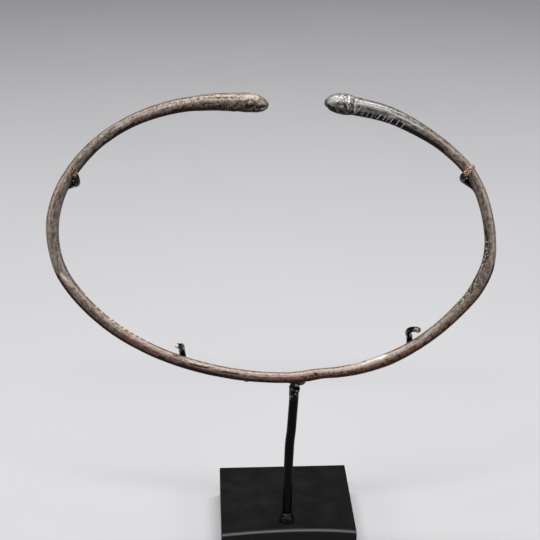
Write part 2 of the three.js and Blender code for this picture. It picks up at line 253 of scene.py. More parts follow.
LEFT_HEAD = HeadPlan(
    depth=7.0, length=11.9,
    outline=(
        (0, 0), (0.02, 0.26), (0.12, 0.60), (0.25, 0.82), (0.38, 0.94), (0.57, 1), (0.78, 1), (1, 0.94),
    ),
    eye_back=0.555, eye_up=-0.09, snout_drop=0.07, lip_front=-0.07, lip_back=-0.33,
)
RIGHT_HEAD = HeadPlan(
    depth=7.6, length=11.1,
    outline=((0, 0), (0.02, 0.24), (0.16, 0.65), (0.34, 0.88), (0.52, 0.985), (0.72, 1), (1, 0.88)),
    eye_back=0.52, eye_up=-0.15, snout_drop=0.03, lip_front=-0.24, lip_back=-0.40,
)


class RingLine:
    """The bar's centre line, its girth and where the leaning ring stands in the frame."""

    def __init__(self) -> None:
        """Lays the line in the ring's plane and sets the ring on the stem's top."""
        points = [((x - STEM_SHARE) * RING_WIDTH, y * RING_HEIGHT, 0.0) for x, y in RING_COURSE]
        self.course = Course(np.array(points))
        self.length = self.course.length
        self.origin = np.zeros(3)
        self.stem_top = STEM_FOOT + np.array([STEM_KINK, 0.0, STEM_HEIGHT])
        share = self.course.along / self.length
        middle = self.course.along[(share > 0.4) & (share < 0.7)]
        over_stem = middle[np.argmin(np.abs(self.course.point(middle)[:, 0]))]
        self.over_stem = float(over_stem)
        behind = self.beside(np.array([over_stem]), np.array([BEHIND]), np.array([0.0]))[0]
        self.origin = self.stem_top - self.stand(behind)

    def stand(self, local: np.ndarray) -> np.ndarray:
        """Turns places in the ring's plane (x right, y up it, z to its front) into the frame's.

        Args:
            local: the places in the ring's plane.

        Returns:
            The places in the frame.
        """
        x, y, z = np.moveaxis(np.asarray(local, float), -1, 0)
        sin, cos = math.sin(LEAN), math.cos(LEAN)
        return np.stack([x, y * sin - z * cos, y * cos + z * sin], axis=-1) + self.origin

    def outward(self, along: np.ndarray) -> np.ndarray:
        """The direction away from the ring's inside, in its plane."""
        way = self.course.tangent(along)
        return np.stack([way[:, 1], -way[:, 0], np.zeros(len(way))], axis=-1)

    def heads(self, along: np.ndarray, name: str) -> np.ndarray:
        """A size of the nearer head for each length along the bar."""
        near_left = along < self.length - along
        return np.where(near_left, getattr(LEFT_HEAD, name), getattr(RIGHT_HEAD, name))

    def back(self, along: np.ndarray) -> np.ndarray:
        """How far each place lies from the nearer snout."""
        return np.minimum(along, self.length - along)

    def radius(self, along: np.ndarray) -> np.ndarray:
        """Half the bar's depth, heads included.

        Args:
            along: lengths along the bar.

        Returns:
            One radius for each.
        """
        bar = read_stations(BAR_GIRTH, along / self.length) * BAR_DIAMETER / 2
        for head, back in ((LEFT_HEAD, along), (RIGHT_HEAD, self.length - along)):
            skull = read_stations(head.outline, back / head.length) * head.depth / 2
            bar = np.where(back < head.length, skull, bar)
        return bar

    def beside(self, along: np.ndarray, degrees: np.ndarray, off: np.ndarray) -> np.ndarray:
        """Where a wire's centre lies beside the bar.

        Args:
            along: lengths along the bar.
            degrees: turns round it, from its front towards the ring's inside.
            off: how much further off than touching.

        Returns:
            The places in the ring's plane.
        """
        reach = (self.radius(along) + FIT_GAP + WIRE_RADIUS + off)[:, None]
        angle = np.radians(degrees)[:, None]
        ahead = np.array([0.0, 0.0, 1.0])
        aside = self.outward(along) * reach * np.sin(angle)
        return self.course.point(along) - aside + ahead * reach * np.cos(angle)


# Mesh work shared by the pieces

def deselect() -> None:
    """Leaves nothing selected, so that the next operator acts on its own piece alone."""
    bpy.ops.object.select_all(action="DESELECT")


def pick(obj: bpy.types.Object) -> None:
    """Makes one piece the only selected and active one.

    Args:
        obj: the piece.
    """
    deselect()
    obj.select_set(True)
    bpy.context.view_layer.objects.active = obj


def corners_of(obj: bpy.types.Object) -> np.ndarray:
    """The mesh's vertices, one row each.

    Args:
        obj: the piece.

    Returns:
        Their places, in metres.
    """
    places = np.empty(3 * len(obj.data.vertices))
    obj.data.vertices.foreach_get("co", places)
    return places.reshape(-1, 3)


def set_corners(obj: bpy.types.Object, places: np.ndarray) -> None:
    """Moves the mesh's vertices to new places."""
    obj.data.vertices.foreach_set("co", np.ascontiguousarray(places, float).ravel())
    obj.data.update()


def keep_mask(obj: bpy.types.Object, name: str, values: np.ndarray) -> None:
    """Stores a number on each vertex for the finish to read."""
    mask = obj.data.attributes.new(name, "FLOAT", "POINT")
    mask.data.foreach_set("value", np.ascontiguousarray(values, np.float32))


def keep_places(obj: bpy.types.Object, name: str, places: np.ndarray) -> None:
    """Stores a place on each vertex for the finish to read."""
    held = obj.data.attributes.new(name, "FLOAT_VECTOR", "POINT")
    held.data.foreach_set("vector", np.ascontiguousarray(places, np.float32).ravel())


@contextmanager
def editing(obj: bpy.types.Object) -> Iterator[None]:
    """Opens a piece in edit mode with its whole mesh selected, and closes it again.

    Args:
        obj: the piece.

    Yields:
        Nothing, while the piece is open.
    """
    pick(obj)
    bpy.ops.object.mode_set(mode="EDIT")
    bpy.ops.mesh.select_all(action="SELECT")
    yield
    bpy.ops.object.mode_set(mode="OBJECT")


def close_mesh(obj: bpy.types.Object, smooth: bool = True) -> None:
    """Merges seams and poles, turns the faces outwards and smooths the shading.

    Args:
        obj: the piece.
        smooth: whether the faces are shaded smooth.
    """
    with editing(obj):
        bpy.ops.mesh.remove_doubles(threshold=SEAM_REACH)
        bpy.ops.mesh.normals_make_consistent(inside=False)
    if smooth:
        bpy.ops.object.shade_smooth()


def settle(obj: bpy.types.Object) -> None:
    """Writes the object's place, turn and size into its mesh."""
    pick(obj)
    bpy.ops.object.transform_apply(location=True, rotation=True, scale=True)


def finish_modifier(obj: bpy.types.Object, kind: str, **settings: object) -> None:
    """Adds one modifier with its settings and applies it.

    Args:
        obj: the piece.
        kind: the modifier's type.
        settings: its values by name.
    """
    pick(obj)
    step = obj.modifiers.new(kind.title(), kind)
    for name, value in settings.items():
        setattr(step, name, value)
    bpy.ops.object.modifier_apply(modifier=step.name)


Placer = Callable[[np.ndarray, np.ndarray], tuple[np.ndarray, dict[str, np.ndarray]]]


def roll_rod(name: str, stations: np.ndarray, sides: int, place: Placer) -> bpy.types.Object:
    """Rolls a flat sheet into a closed rod.

    Args:
        name: the piece's name.
        stations: lengths along the rod, from one tip to the other.
        sides: how many faces go round it.
        place: gives the frame's places and the masks for arrays of (along, turn), turn from 0 to 1.

    Returns:
        The closed piece, at the origin.
    """
    deselect()
    bpy.ops.mesh.primitive_grid_add(x_subdivisions=len(stations) - 1, y_subdivisions=sides, size=1)
    obj = bpy.context.object
    obj.name = obj.data.name = name
    flat = corners_of(obj)
    column = np.rint((flat[:, 0] + 0.5) * (len(stations) - 1)).astype(int)
    turn = np.rint((flat[:, 1] + 0.5) * sides) / sides
    places, masks = place(stations[column], turn)
    set_corners(obj, places * MM)
    for mask, values in masks.items():
        (keep_mask if values.ndim == 1 else keep_places)(obj, mask, values)
    close_mesh(obj)
    return obj


def round_ends(along: np.ndarray, length: float, radius: float) -> np.ndarray:
    """How full a rod is along its length: 1, and falling to 0 at both tips as a ball does."""
    end = np.minimum(np.minimum(along, length - along) / radius, 1)
    return np.sqrt(np.clip(1 - (1 - end) ** 2, 0, 1))


def spread_stations(length: float, steps: Stations) -> np.ndarray:
    """Places along a rod whose spacing follows the stations.

    Args:
        length: the rod's length.
        steps: (length along, spacing there) in rising order.

    Returns:
        The places from 0 to the length.
    """
    fine = np.linspace(0, length, SPREAD_SAMPLES)
    at, step = np.array(steps).T
    count = np.concatenate([[0], np.cumsum(np.diff(fine) / np.interp(fine[1:], at, step))])
    return np.interp(np.linspace(0, count[-1], int(round(count[-1])) + 1), count, fine)


# Finishes

class Recipe:
    """One node material, built up step by step round a Principled shader."""

    def __init__(self, name: str, **sockets: object) -> None:
        """Starts the material.

        Args:
            name: the material's name.
            sockets: the shader's constant values, with _ for a space.
        """
        self.material = bpy.data.materials.new(name)
        self.material.use_nodes = True
        self.tree = self.material.node_tree
        self.shader = next(n for n in self.tree.nodes if n.type == "BSDF_PRINCIPLED")
        for key, value in sockets.items():
            self.shader.inputs[key.replace("_", " ")].default_value = value

    def node(self, kind: str, inputs: dict, **settings: object) -> bpy.types.Node:
        """Adds a node.

        Args:
            kind: its type.
            inputs: its sockets' values or links by name or number.
            settings: its own options.

        Returns:
            The node.
        """
        made = self.tree.nodes.new(kind)
        for key, value in settings.items():
            setattr(made, key, value)
        for key, value in inputs.items():
            self.feed(made.inputs[key], value)
        return made

    def feed(self, socket: bpy.types.NodeSocket, value: object) -> None:
        """Links a socket or sets its value.

        Args:
            socket: the socket.
            value: another socket, or a constant.
        """
        if isinstance(value, bpy.types.NodeSocket):
            self.tree.links.new(value, socket)
        else:
            socket.default_value = value

    def mask(self, name: str) -> bpy.types.NodeSocket:
        """A number kept on the vertices."""
        return self.node("ShaderNodeAttribute", {}, attribute_name=name).outputs["Fac"]

    def places(self, name: str = "") -> bpy.types.NodeSocket:
        """Places kept on the vertices, or else the object's own, in millimetres.

        Args:
            name: the attribute that keeps them, if one does.

        Returns:
            The places.
        """
        if name:
            return self.node("ShaderNodeAttribute", {}, attribute_name=name).outputs["Vector"]
        own = self.node("ShaderNodeTexCoord", {}).outputs["Object"]
        return self.node("ShaderNodeMapping", {"Vector": own, "Scale": (1 / MM,) * 3}).outputs["Vector"]

    def stretched(self, places: bpy.types.NodeSocket,
                  scale: tuple[float, float, float]) -> bpy.types.NodeSocket:
        """Places scaled along each axis, which draws a pattern out."""
        return self.node("ShaderNodeMapping", {"Vector": places, "Scale": scale}).outputs["Vector"]

    def noise(self, places: bpy.types.NodeSocket, size: float, detail: float = 3.0,
              rough: float = 0.55) -> bpy.types.NodeSocket:
        """Cloudy noise with lumps of a size in millimetres."""
        inputs = {"Vector": places, "Scale": 1 / size, "Detail": detail, "Roughness": rough}
        return self.node("ShaderNodeTexNoise", inputs).outputs["Fac"]

    def step(self, value: bpy.types.NodeSocket, start: float, end: float, low: float = 0.0,
             high: float = 1.0) -> bpy.types.NodeSocket:
        """Maps a value from one range to another, held at both ends."""
        inputs = {"Value": value, "From Min": start, "From Max": end, "To Min": low, "To Max": high}
        return self.node("ShaderNodeMapRange", inputs, interpolation_type="SMOOTHSTEP").outputs["Result"]

    def math(self, operation: str, a: object, b: object) -> bpy.types.NodeSocket:
        """One sum on numbers."""
        return self.node("ShaderNodeMath", {0: a, 1: b}, operation=operation).outputs[0]

    def blend(self, share: object, below: object, above: object) -> bpy.types.NodeSocket:
        """Lays one colour over another."""
        inputs = {0: share, 6: below, 7: above}
        return self.node("ShaderNodeMix", inputs, data_type="RGBA").outputs[2]

    def bump(self, height: bpy.types.NodeSocket, depth: float, strength: float) -> None:
        """Lets a height texture tip the surface.

        Args:
            height: the texture, 0 to 1.
            depth: how deep its whole range is, in millimetres.
            strength: how much of it shows.
        """
        inputs = {"Height": height, "Distance": depth * MM, "Strength": strength}
        made = self.node("ShaderNodeBump", inputs)
        self.feed(self.shader.inputs["Normal"], made.outputs["Normal"])


def tone(red: float, green: float, blue: float) -> tuple[float, float, float, float]:
    """A colour from 0 to 255 values as it is seen, in the linear form that shaders take."""
    linear = [((c / 255 + 0.055) / 1.055) ** 2.4 if c > 10 else c / 255 / 12.92 for c in (red, green, blue)]
    return (*linear, 1.0)


@dataclass(frozen=True)
class BronzePatina:
    """Dark bronze: brown patina, lighter ridges that are partly wear and partly painted highlight, darker
    hollows and undersides that are partly grime and partly painted shade, chalky crumbs.
    """

    body: tuple = tone(103, 92, 82)
    dark: tuple = tone(34, 23, 19)
    cool_dirt_and_shade: tuple = tone(20, 21, 24)
    warm: tuple = tone(110, 72, 60)
    tan: tuple = tone(167, 149, 134)
    gunmetal: tuple = tone(90, 90, 90)
    chalk: tuple = tone(196, 186, 170)
    copper: tuple = tone(170, 96, 58)
    verdigris: tuple = tone(112, 122, 108)
    ink: tuple = tone(214, 212, 208)

    def mix(self) -> bpy.types.Material:
        """Builds the material from the torc's masks and its straightened places.

        Returns:
            The material.
        """
        r = Recipe("torc_bronze_patina", Metallic=0.25)
        straight = r.places("straight")
        cloud = r.noise(r.stretched(straight, (0.35, 1.0, 1.0)), 3.2, 4.0)
        fine = r.noise(r.stretched(straight, (0.55, 1.0, 1.0)), 0.85, 3.0, 0.6)
        warmth = r.math("ADD", 0.25, r.math("MULTIPLY", r.mask("red"), 0.75))
        colour = r.blend(r.math("MULTIPLY", r.step(cloud, 0.32, 0.68), warmth), self.body, self.warm)
        colour = r.blend(r.math("MULTIPLY", r.mask("red"), 0.6), colour, self.warm)
        # Gunmetal grey on the right head and neck, and a painted sheen on the left snout and upper neck.
        colour = r.blend(r.mask("gun"), colour, self.gunmetal)
        mottle = r.math("MULTIPLY", r.step(fine, 0.48, 0.64), 0.42)
        colour = r.blend(mottle, colour, self.tan)
        # Lighter tan where the surface is worn, and where a highlight is painted along the ridges and arcs.
        colour = r.blend(r.mask("worn"), colour, self.tan)
        colour = r.blend(r.math("MULTIPLY", r.step(fine, 0.49, 0.36), 0.5), colour, self.dark)
        colour = r.blend(r.mask("green"), colour, self.verdigris)
        # Darker where grime sits in pits and seams, and where shade is painted: on the undersides, along
        # the arcs' lower edges, in the mouths and grooves of the heads and under the eyes.
        dirt_and_shade = r.blend(r.mask("gun"), self.dark, self.cool_dirt_and_shade)
        colour = r.blend(r.mask("hollow"), colour, dirt_and_shade)
        colour = r.blend(r.mask("copper"), colour, self.copper)
        # Pale chalky crumbs and flecks, and small painted highlights on the heads and the left arm.
        colour = r.blend(r.mask("chalk"), colour, self.chalk)
        # White strokes and scribbles, and painted highlight streaks along the lower arc and the right neck.
        colour = r.blend(r.mask("ink"), colour, self.ink)
        r.feed(r.shader.inputs["Base Color"], colour)
        shine = r.math("SUBTRACT", 0.95, r.math("MULTIPLY", r.mask("hollow"), 0.85))
        r.feed(r.shader.inputs["Specular IOR Level"], shine)
        rough = r.step(fine, 0.3, 0.7, 0.28, 0.46)
        rough = r.math("ADD", rough, r.math("MULTIPLY", r.mask("worn"), 0.14))
        rough = r.math("ADD", rough, r.math("MULTIPLY", r.mask("hollow"), 0.3))
        rough = r.math("ADD", rough, r.math("MULTIPLY", r.mask("chalk"), 0.35))
        r.feed(r.shader.inputs["Roughness"], rough)
        r.bump(r.noise(straight, 0.5, 4.0, 0.55), 0.06, 0.7)
        return r.material


@dataclass(frozen=True)
class GlossPaint:
    """Thick black gloss paint over iron, toned brown on the claws' tips, with light flecks that are partly
    exposed metal and partly painted glints.
    """

    black: tuple = tone(3, 3, 4)
    brown: tuple = tone(58, 42, 34)
    tan: tuple = tone(186, 152, 132)
    bare: tuple = tone(188, 186, 186)
    dusty: tuple = tone(8, 8, 9)

    def mix(self) -> bpy.types.Material:
        """Builds the material from the stand's masks and the object's places.

        Returns:
            The material.
        """
        r = Recipe("stand_gloss_paint")
        r.feed(r.shader.inputs["Specular IOR Level"], r.mask("gloss"))
        own = r.places()
        cloud = r.noise(own, 1.1, 3.0)
        toned = r.mask("toned")
        fine = r.noise(own, 0.6, 3.0)
        brush = r.blend(r.step(fine, 0.42, 0.6), self.brown, self.tan)
        colour = r.blend(r.step(cloud, 0.3, 0.7), self.black, self.dusty)
        painted = r.blend(toned, colour, brush)
        # Light flecks: partly exposed metal, partly painted glints.
        r.feed(r.shader.inputs["Base Color"], r.blend(r.mask("bare"), painted, self.bare))
        rough = r.step(cloud, 0.3, 0.7, 0.08, 0.2)
        r.feed(r.shader.inputs["Roughness"], r.math("ADD", rough, r.math("MULTIPLY", toned, 0.2)))
        r.bump(r.noise(own, 0.8, 2.0), 0.12, 0.8)
        return r.material


@dataclass(frozen=True)
class BlockPaint:
    """Satin black paint on the block, finely speckled, with a thin lighter line along its front edge that
    is partly paint wear and partly a painted highlight.
    """

    black: tuple = tone(10, 10, 11)
    speck: tuple = tone(30, 31, 32)
    edge_wear_and_highlight_tone: tuple = tone(110, 110, 110)
    dusty: tuple = tone(14, 15, 16)

    def mix(self) -> bpy.types.Material:
        """Builds the material from the block's mask and the object's places.

        Returns:
            The material.
        """
        r = Recipe("block_satin_paint", Specular_IOR_Level=0.16)
        own = r.places()
        cloud = r.noise(own, 9.0, 3.0)
        speckle = r.step(r.noise(own, 0.42, 2.0, 0.7), 0.56, 0.72)
        colour = r.blend(r.step(cloud, 0.3, 0.7), self.black, self.dusty)
        colour = r.blend(r.math("MULTIPLY", speckle, 0.6), colour, self.speck)
        # A thin lighter line along the front top edge: partly paint wear, partly a painted highlight.
        colour = r.blend(r.mask("edge_wear_and_highlight"), colour, self.edge_wear_and_highlight_tone)
        r.feed(r.shader.inputs["Base Color"], colour)
        r.feed(r.shader.inputs["Roughness"], r.step(cloud, 0.3, 0.7, 0.42, 0.56))
        r.bump(r.noise(own, 0.5, 3.0), 0.05, 0.6)
        return r.material


@dataclass(frozen=True)
class PaleFloor:
    """A plain pale floor with a very faint unevenness."""

    pale: tuple = tone(176, 176, 178)
    paler: tuple = tone(182, 182, 184)

    def mix(self) -> bpy.types.Material:
        """Builds the material.

        Returns:
            The material.
        """
        r = Recipe("pale_floor", Roughness=0.85)
        r.feed(r.shader.inputs["Base Color"], r.blend(r.noise(r.places(), 160.0), self.pale, self.paler))
        return r.material


class Slot(Enum):
    """The record's material slots."""

    BRONZE = "bronze"
    STAND_WIRE = "stand_wire"
    BLOCK = "block"


def enter(obj: bpy.types.Object, node: str, finish: bpy.types.Material) -> None:
    """Dresses a finished piece, puts it in its node's place and sets it on the body.

    Args:
        obj: the finished piece.
        node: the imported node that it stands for.
        finish: its material.
    """
    obj.data.materials.clear()
    obj.data.materials.append(finish)
    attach(obj, "root")
    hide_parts(node)
    LOG.info("%s: %d faces, stands for %s", obj.name, len(obj.data.polygons), node)


# The torc

@dataclass(frozen=True)
class Mark:
    """One mark on the skin, drawn between two (mm along, mm outward) places as seen from the front."""

    mask: str
    start: tuple[float, float]
    end: tuple[float, float]
    width: float
    share: float = 0.8
    height: float = 0.0


def strokes(mask: str, *rows: tuple[float, ...]) -> tuple[Mark, ...]:
    """Makes marks of one kind.

    Args:
        mask: the mask that they feed.
        rows: for each, the mm along and outward of its two ends, its width, share and height.

    Returns:
        The marks.
    """
    return tuple(Mark(mask, row[:2], row[2:4], *row[4:]) for row in rows)


@dataclass(frozen=True)
class Spot:
    """A small place on the bar: its mask, mm along, mm outward, radius and how far it stands out."""

    mask: str
    along: float
    up: float
    radius: float
    height: float


LEFT_HEAD_MARKS = (
    # Darker: painted shade in the mouth, under the eye and along the underside of the head and jaw, the lid
    # line, the neck crease and dark red streaks behind the eye; the negative row lifts that painted shade
    # off the jaw for its painted highlight.
    *strokes(
        "hollow",
        (1.4, -0.95, 4.6, -1.4, 0.34, 1.2, -0.10), (3.6, -1.25, 4.8, -1.9, 0.38, 0.8, -0.06),
        (1.3, -1.75, 2.9, -1.95, 0.24, -1.4, 0.08), (5.7, -0.95, 7.8, -1.15, 0.38, 1.2, -0.10),
        (5.5, 1.2, 8.0, 1.2, 0.14, 0.55, -0.05), (8.3, -2.6, 8.4, 0.6, 0.14, 0.45, -0.05),
        (9.3, -1.7, 10.5, -0.7, 0.3, 0.45), (5.5, -2.75, 13.0, -3.0, 0.5, 0.7),
        (1.0, -2.45, 4.5, -3.1, 0.5, 0.8),
    ),
    # Lighter: the tan crown, and painted highlights on the jaw, above the eye and along the neck.
    *strokes(
        "worn",
        (4.5, 2.2, 9.0, 2.3, 0.6, 0.4), (1.4, -1.75, 2.6, -1.9, 0.16, 0.4),
        (4.4, 1.9, 8.6, 2.1, 0.8, 0.6), (5.9, 0.5, 7.6, 0.55, 0.22, 0.5),
        (8.7, -1.6, 9.4, -0.4, 0.16, 0.2), (9.2, 1.0, 10.2, 1.05, 0.28, 0.85, 0.05),
        (11.4, 1.1, 11.8, 1.1, 0.25, 0.8, 0.05),
    ),
    # Red-brown on the lower flank, and a red tint on the jaw's painted highlight.
    *strokes("red", (2.0, -0.8, 13.0, -0.8, 2.2, 0.6), (1.3, -1.75, 2.8, -1.95, 0.3, 1.0)),
    # Gunmetal grey on the eye, and a painted sheen on the snout and the upper neck.
    *strokes(
        "gun",
        (2.0, 0.25, 3.6, 0.0, 0.6, 0.9), (6.2, -0.4, 7.0, -0.4, 0.55, 0.8),
        (8.6, 0.55, 12.5, 0.75, 0.4, 0.7),
    ),
    # Painted highlights on the snout and the eye.
    *strokes("chalk", (2.0, 0.3, 3.6, 0.1, 0.35, 0.35), (6.9, -0.2, 7.3, -0.2, 0.2, 0.3)),
)
LEFT_NECK_MARKS = (
    *strokes(
        "hollow",
        (12.5, 1.72, 21.5, 1.62, 0.16, 0.6, -0.12), (28.8, -1.2, 29.2, -1.3, 0.28, 0.8),
        (31.0, -0.9, 31.4, -1.0, 0.26, 0.8), (33.2, -1.2, 35.0, -1.3, 0.24, 0.7),
        (50.0, -0.9, 58.5, -1.5, 0.4, 0.45), (67.0, -0.9, 72.8, -1.2, 0.2, 0.4),
    ),
    # Lighter: painted highlight lines along the top of the neck, in short bright pieces, and a fainter band
    # beyond them.
    *strokes(
        "worn",
        (12.5, 1.0, 20.5, 1.05, 0.24, 0.8, 0.04), (13.0, 2.3, 21.0, 2.2, 0.3, 0.7, 0.03),
        (22.5, 1.85, 23.5, 1.85, 0.3, 0.7), (25.8, 1.0, 27.3, 1.0, 0.25, 0.8),
        (28.6, 0.95, 31.0, 0.85, 0.3, 0.8), (32.5, 0.8, 47.0, 0.4, 0.5, 0.45),
    ),
    *strokes("red", (10.0, -1.3, 50.0, -1.1, 0.8, 0.9)),
    *strokes("ink", (51.2, 0.3, 56.8, 0.3, 0.16, 0.35)),
)
ARM_MARKS = (
    # Darker: painted shade along the outer, lower edge of the arcs, the cast seam's grooves and small dark
    # spots.
    *strokes(
        "hollow",
        (117.0, 1.9, 150.0, 2.1, 0.5, 0.65), (119.8, -0.4, 120.2, -0.5, 0.25, 0.6),
        (124.0, -0.6, 124.4, -0.7, 0.25, 0.6), (164.0, 1.2, 165.4, 1.2, 0.5, 0.7),
        (171.5, 1.25, 187.5, 1.3, 0.5, 0.55), (174.9, 0.0, 181.8, -0.3, 0.24, 1.2, -0.20),
        (187.4, -0.1, 193.0, -0.1, 0.22, 1.1, -0.15), (188.0, 0.95, 194.0, 0.9, 0.15, 0.4, -0.06),
        (221.0, 2.2, 231.0, 2.0, 0.24, 0.9, -0.06), (250.0, 1.95, 300.0, 2.35, 0.5, 1.1),
        (299.0, -1.1, 316.0, -1.5, 0.4, 0.4),
    ),
    # Lighter: painted highlight lines along the lower arc's upper edge and the left arm, with pale spots
    # and flecks.
    *strokes(
        "worn",
        (82.5, 0.3, 82.8, 0.3, 0.35, 0.7), (117.2, 0.7, 123.0, 0.0, 0.6, 0.8),
        (119.4, -0.7, 131.0, -1.1, 0.32, 0.6), (174.5, -0.65, 181.0, -0.85, 0.2, 0.7, 0.06),
        (223.0, -0.2, 246.0, -0.4, 0.6, 0.3), (232.0, -0.9, 239.0, -1.0, 0.14, 0.8),
        (238.0, -1.3, 247.5, -1.8, 0.2, 0.9, 0.03), (260.0, 0.2, 263.0, 0.3, 0.5, 0.7),
        (300.0, 0.9, 327.0, 0.7, 0.45, 0.45),
    ),
    *strokes("red", (150.0, 0.2, 222.0, 0.3, 1.3, 0.9)),
    # A bright patch where the left arm's painted highlight starts.
    *strokes("chalk", (117.4, 0.5, 120.2, -0.1, 0.4, 0.9)),
    *strokes(
        "copper",
        (85.1, 0.2, 85.4, 0.2, 0.35, 0.35), (130.4, 0.1, 130.8, 0.1, 0.38, 0.8),
        (196.0, 2.4, 196.3, 2.4, 0.42, 1.0, 0.16),
    ),
    *strokes("green", (100.0, 0.4, 115.5, 0.2, 1.1, 0.12), (274.0, 0.2, 289.0, 0.2, 1.0, 0.15)),
    # Painted highlight streaks along the lower arc's upper edge.
    *strokes(
        "ink",
        (238.5, -1.25, 247.0, -1.6, 0.15, 0.6), (234.0, -1.95, 239.0, -1.95, 0.13, 0.6),
        (240.5, -1.9, 247.5, -2.0, 0.14, 0.85), (245.0, -1.0, 248.5, -1.7, 0.18, 0.5),
    ),
)
RIGHT_NECK_MARKS = (
    # Darker: the dark cells of the hatched pattern, and painted shade along the lower flank.
    *strokes(
        "hollow",
        (348.0, -1.5, 365.0, -2.0, 0.75, 0.95), (365.6, -1.2, 366.8, -1.2, 0.42, 1.1, -0.05),
        (367.9, -1.2, 369.4, -1.2, 0.42, 1.1, -0.05), (370.2, -2.4, 372.0, -2.5, 0.4, 0.9),
        (373.0, -2.0, 374.3, -2.0, 0.55, 1.1, -0.05), (375.5, -2.1, 376.8, -2.2, 0.62, 1.1, -0.05),
        (377.7, -2.2, 378.6, -2.2, 0.6, 1.1, -0.05), (379.5, -2.2, 380.4, -2.2, 0.6, 1.1, -0.05),
        (381.3, -2.2, 382.3, -2.3, 0.62, 1.1, -0.05), (383.1, -2.2, 383.5, -2.3, 0.5, 1.1, -0.05),
        (359.0, -2.6, 383.5, -3.0, 0.3, 0.8),
    ),
    # A painted highlight line along the back of the neck.
    *strokes("worn", (343.0, 0.9, 372.0, 1.0, 0.32, 0.55)),
    # The first three rows are painted highlight lines along the back of the neck.
    *strokes(
        "ink",
        (358.0, 0.8, 369.5, 0.8, 0.16, 0.45), (365.5, 2.1, 383.0, 2.3, 0.16, 0.25),
        (371.5, 1.5, 383.5, 1.5, 0.16, 0.5), (369.0, 0.0, 371.2, -0.3, 0.28, 0.55),
        (363.0, -0.3, 366.0, -0.5, 0.2, 0.35),
    ),
)
SCRATCHES = strokes(
    "ink",
    (365.0, -0.7, 365.4, -2.6, 0.13), (367.2, -0.5, 367.6, -2.5, 0.14),
    (369.6, -0.8, 370.0, -2.8, 0.14), (371.0, -0.9, 371.6, -2.4, 0.1, 0.6),
    (372.4, -0.7, 372.9, -2.4, 0.14), (374.3, -0.9, 375.2, -2.8, 0.15, 0.95),
    (375.9, -1.4, 376.2, -2.4, 0.09, 0.5), (377.0, -1.5, 377.4, -2.9, 0.12, 0.7),
    (378.8, -1.3, 379.2, -2.7, 0.12, 0.6), (380.6, -1.3, 381.1, -2.7, 0.12, 0.7),
    (382.0, 0.2, 383.0, -1.9, 0.14, 0.75), (384.5, 0.9, 383.6, -2.6, 0.15, 0.95),
    (383.9, 2.9, 384.4, 1.1, 0.14, 0.8), (386.8, 3.1, 386.7, 0.9, 0.3, 0.9),
    (385.6, 1.6, 388.0, 1.5, 0.15, 0.8), (386.0, 0.3, 386.7, -0.6, 0.13, 0.8),
    (387.3, 0.5, 386.3, -1.6, 0.14, 0.9), (385.3, 2.7, 386.2, 2.9, 0.13, 0.6),
    (389.5, 2.9, 391.2, 0.2, 0.16, 0.7), (388.4, 2.4, 389.8, 1.9, 0.13, 0.6),
    (391.0, 2.1, 391.6, 1.2, 0.12, 0.4),
)
RIGHT_HEAD_MARKS = (
    # Darker: the eye's lid grooves and the neck crease, and painted shade along the underside and the
    # snout.
    *strokes(
        "hollow",
        (387.4, -0.7, 388.3, 0.0, 0.28, 1.2, -0.08), (388.3, 0.05, 390.2, -0.2, 0.28, 1.2, -0.08),
        (385.0, -1.9, 387.6, -1.6, 0.35, 0.7), (384.5, -3.1, 391.0, -3.0, 0.4, 0.8),
        (391.6, -1.9, 393.6, -1.2, 0.4, 0.6), (384.9, 0.6, 385.1, -1.2, 0.16, 0.5, -0.05),
    ),
    # A painted highlight on the lip.
    *strokes("worn", (387.8, -2.0, 389.5, -1.95, 0.14, 0.5)),
    *strokes("red", (386.0, -2.6, 391.0, -2.2, 0.7, 1.0)),
    *strokes("gun", (390.0, -1.6, 393.0, -1.0, 0.6, 1.0), (384.0, 0.0, 394.0, 0.0, 3.0, 1.0)),
    # A painted highlight on the crown.
    *strokes("chalk", (391.5, 1.3, 393.4, 0.9, 0.6, 0.3)),
    # Painted highlights by the eye, on the crown and on the snout.
    *strokes(
        "ink",
        (388.3, -0.85, 389.5, -0.8, 0.2, 0.6), (389.6, 1.6, 392.6, 0.7, 1.3, 0.12),
        (391.8, -0.3, 393.0, -0.2, 0.6, 0.1),
    ),
)
MARKS = LEFT_HEAD_MARKS + LEFT_NECK_MARKS + ARM_MARKS + RIGHT_NECK_MARKS + RIGHT_HEAD_MARKS
CRUMBS = (
    Spot("chalk", 129.0, -2.15, 0.45, 0.12), Spot("chalk", 134.8, -2.2, 0.6, 0.4),
    Spot("chalk", 137.6, -2.2, 0.55, 0.35), Spot("chalk", 141.8, -2.2, 0.7, 0.42),
    Spot("chalk", 143.4, -2.2, 0.5, 0.25), Spot("chalk", 146.2, -2.2, 0.55, 0.3),
    Spot("chalk", 148.0, -2.2, 0.65, 0.35), Spot("chalk", 150.2, -2.2, 0.5, 0.28),
    Spot("chalk", 152.4, -2.2, 0.5, 0.3), Spot("chalk", 154.4, -2.2, 0.45, 0.28),
    Spot("chalk", 157.3, -2.1, 0.45, 0.15), Spot("copper", 196.1, 1.95, 0.6, 0.3),
)
CHIP = Spot("hollow", 221.2, -0.2, 0.75, -0.36)
MASKS = ("hollow", "worn", "red", "gun", "chalk", "copper", "green", "ink")
CASTING_LUMPS = ((5.5, 3, 0.05), (2.1, 4, 0.022), (0.8, 5, 0.010))
HEAD_LUMPS = ((1.6, 8, 0.02), (0.7, 9, 0.01))


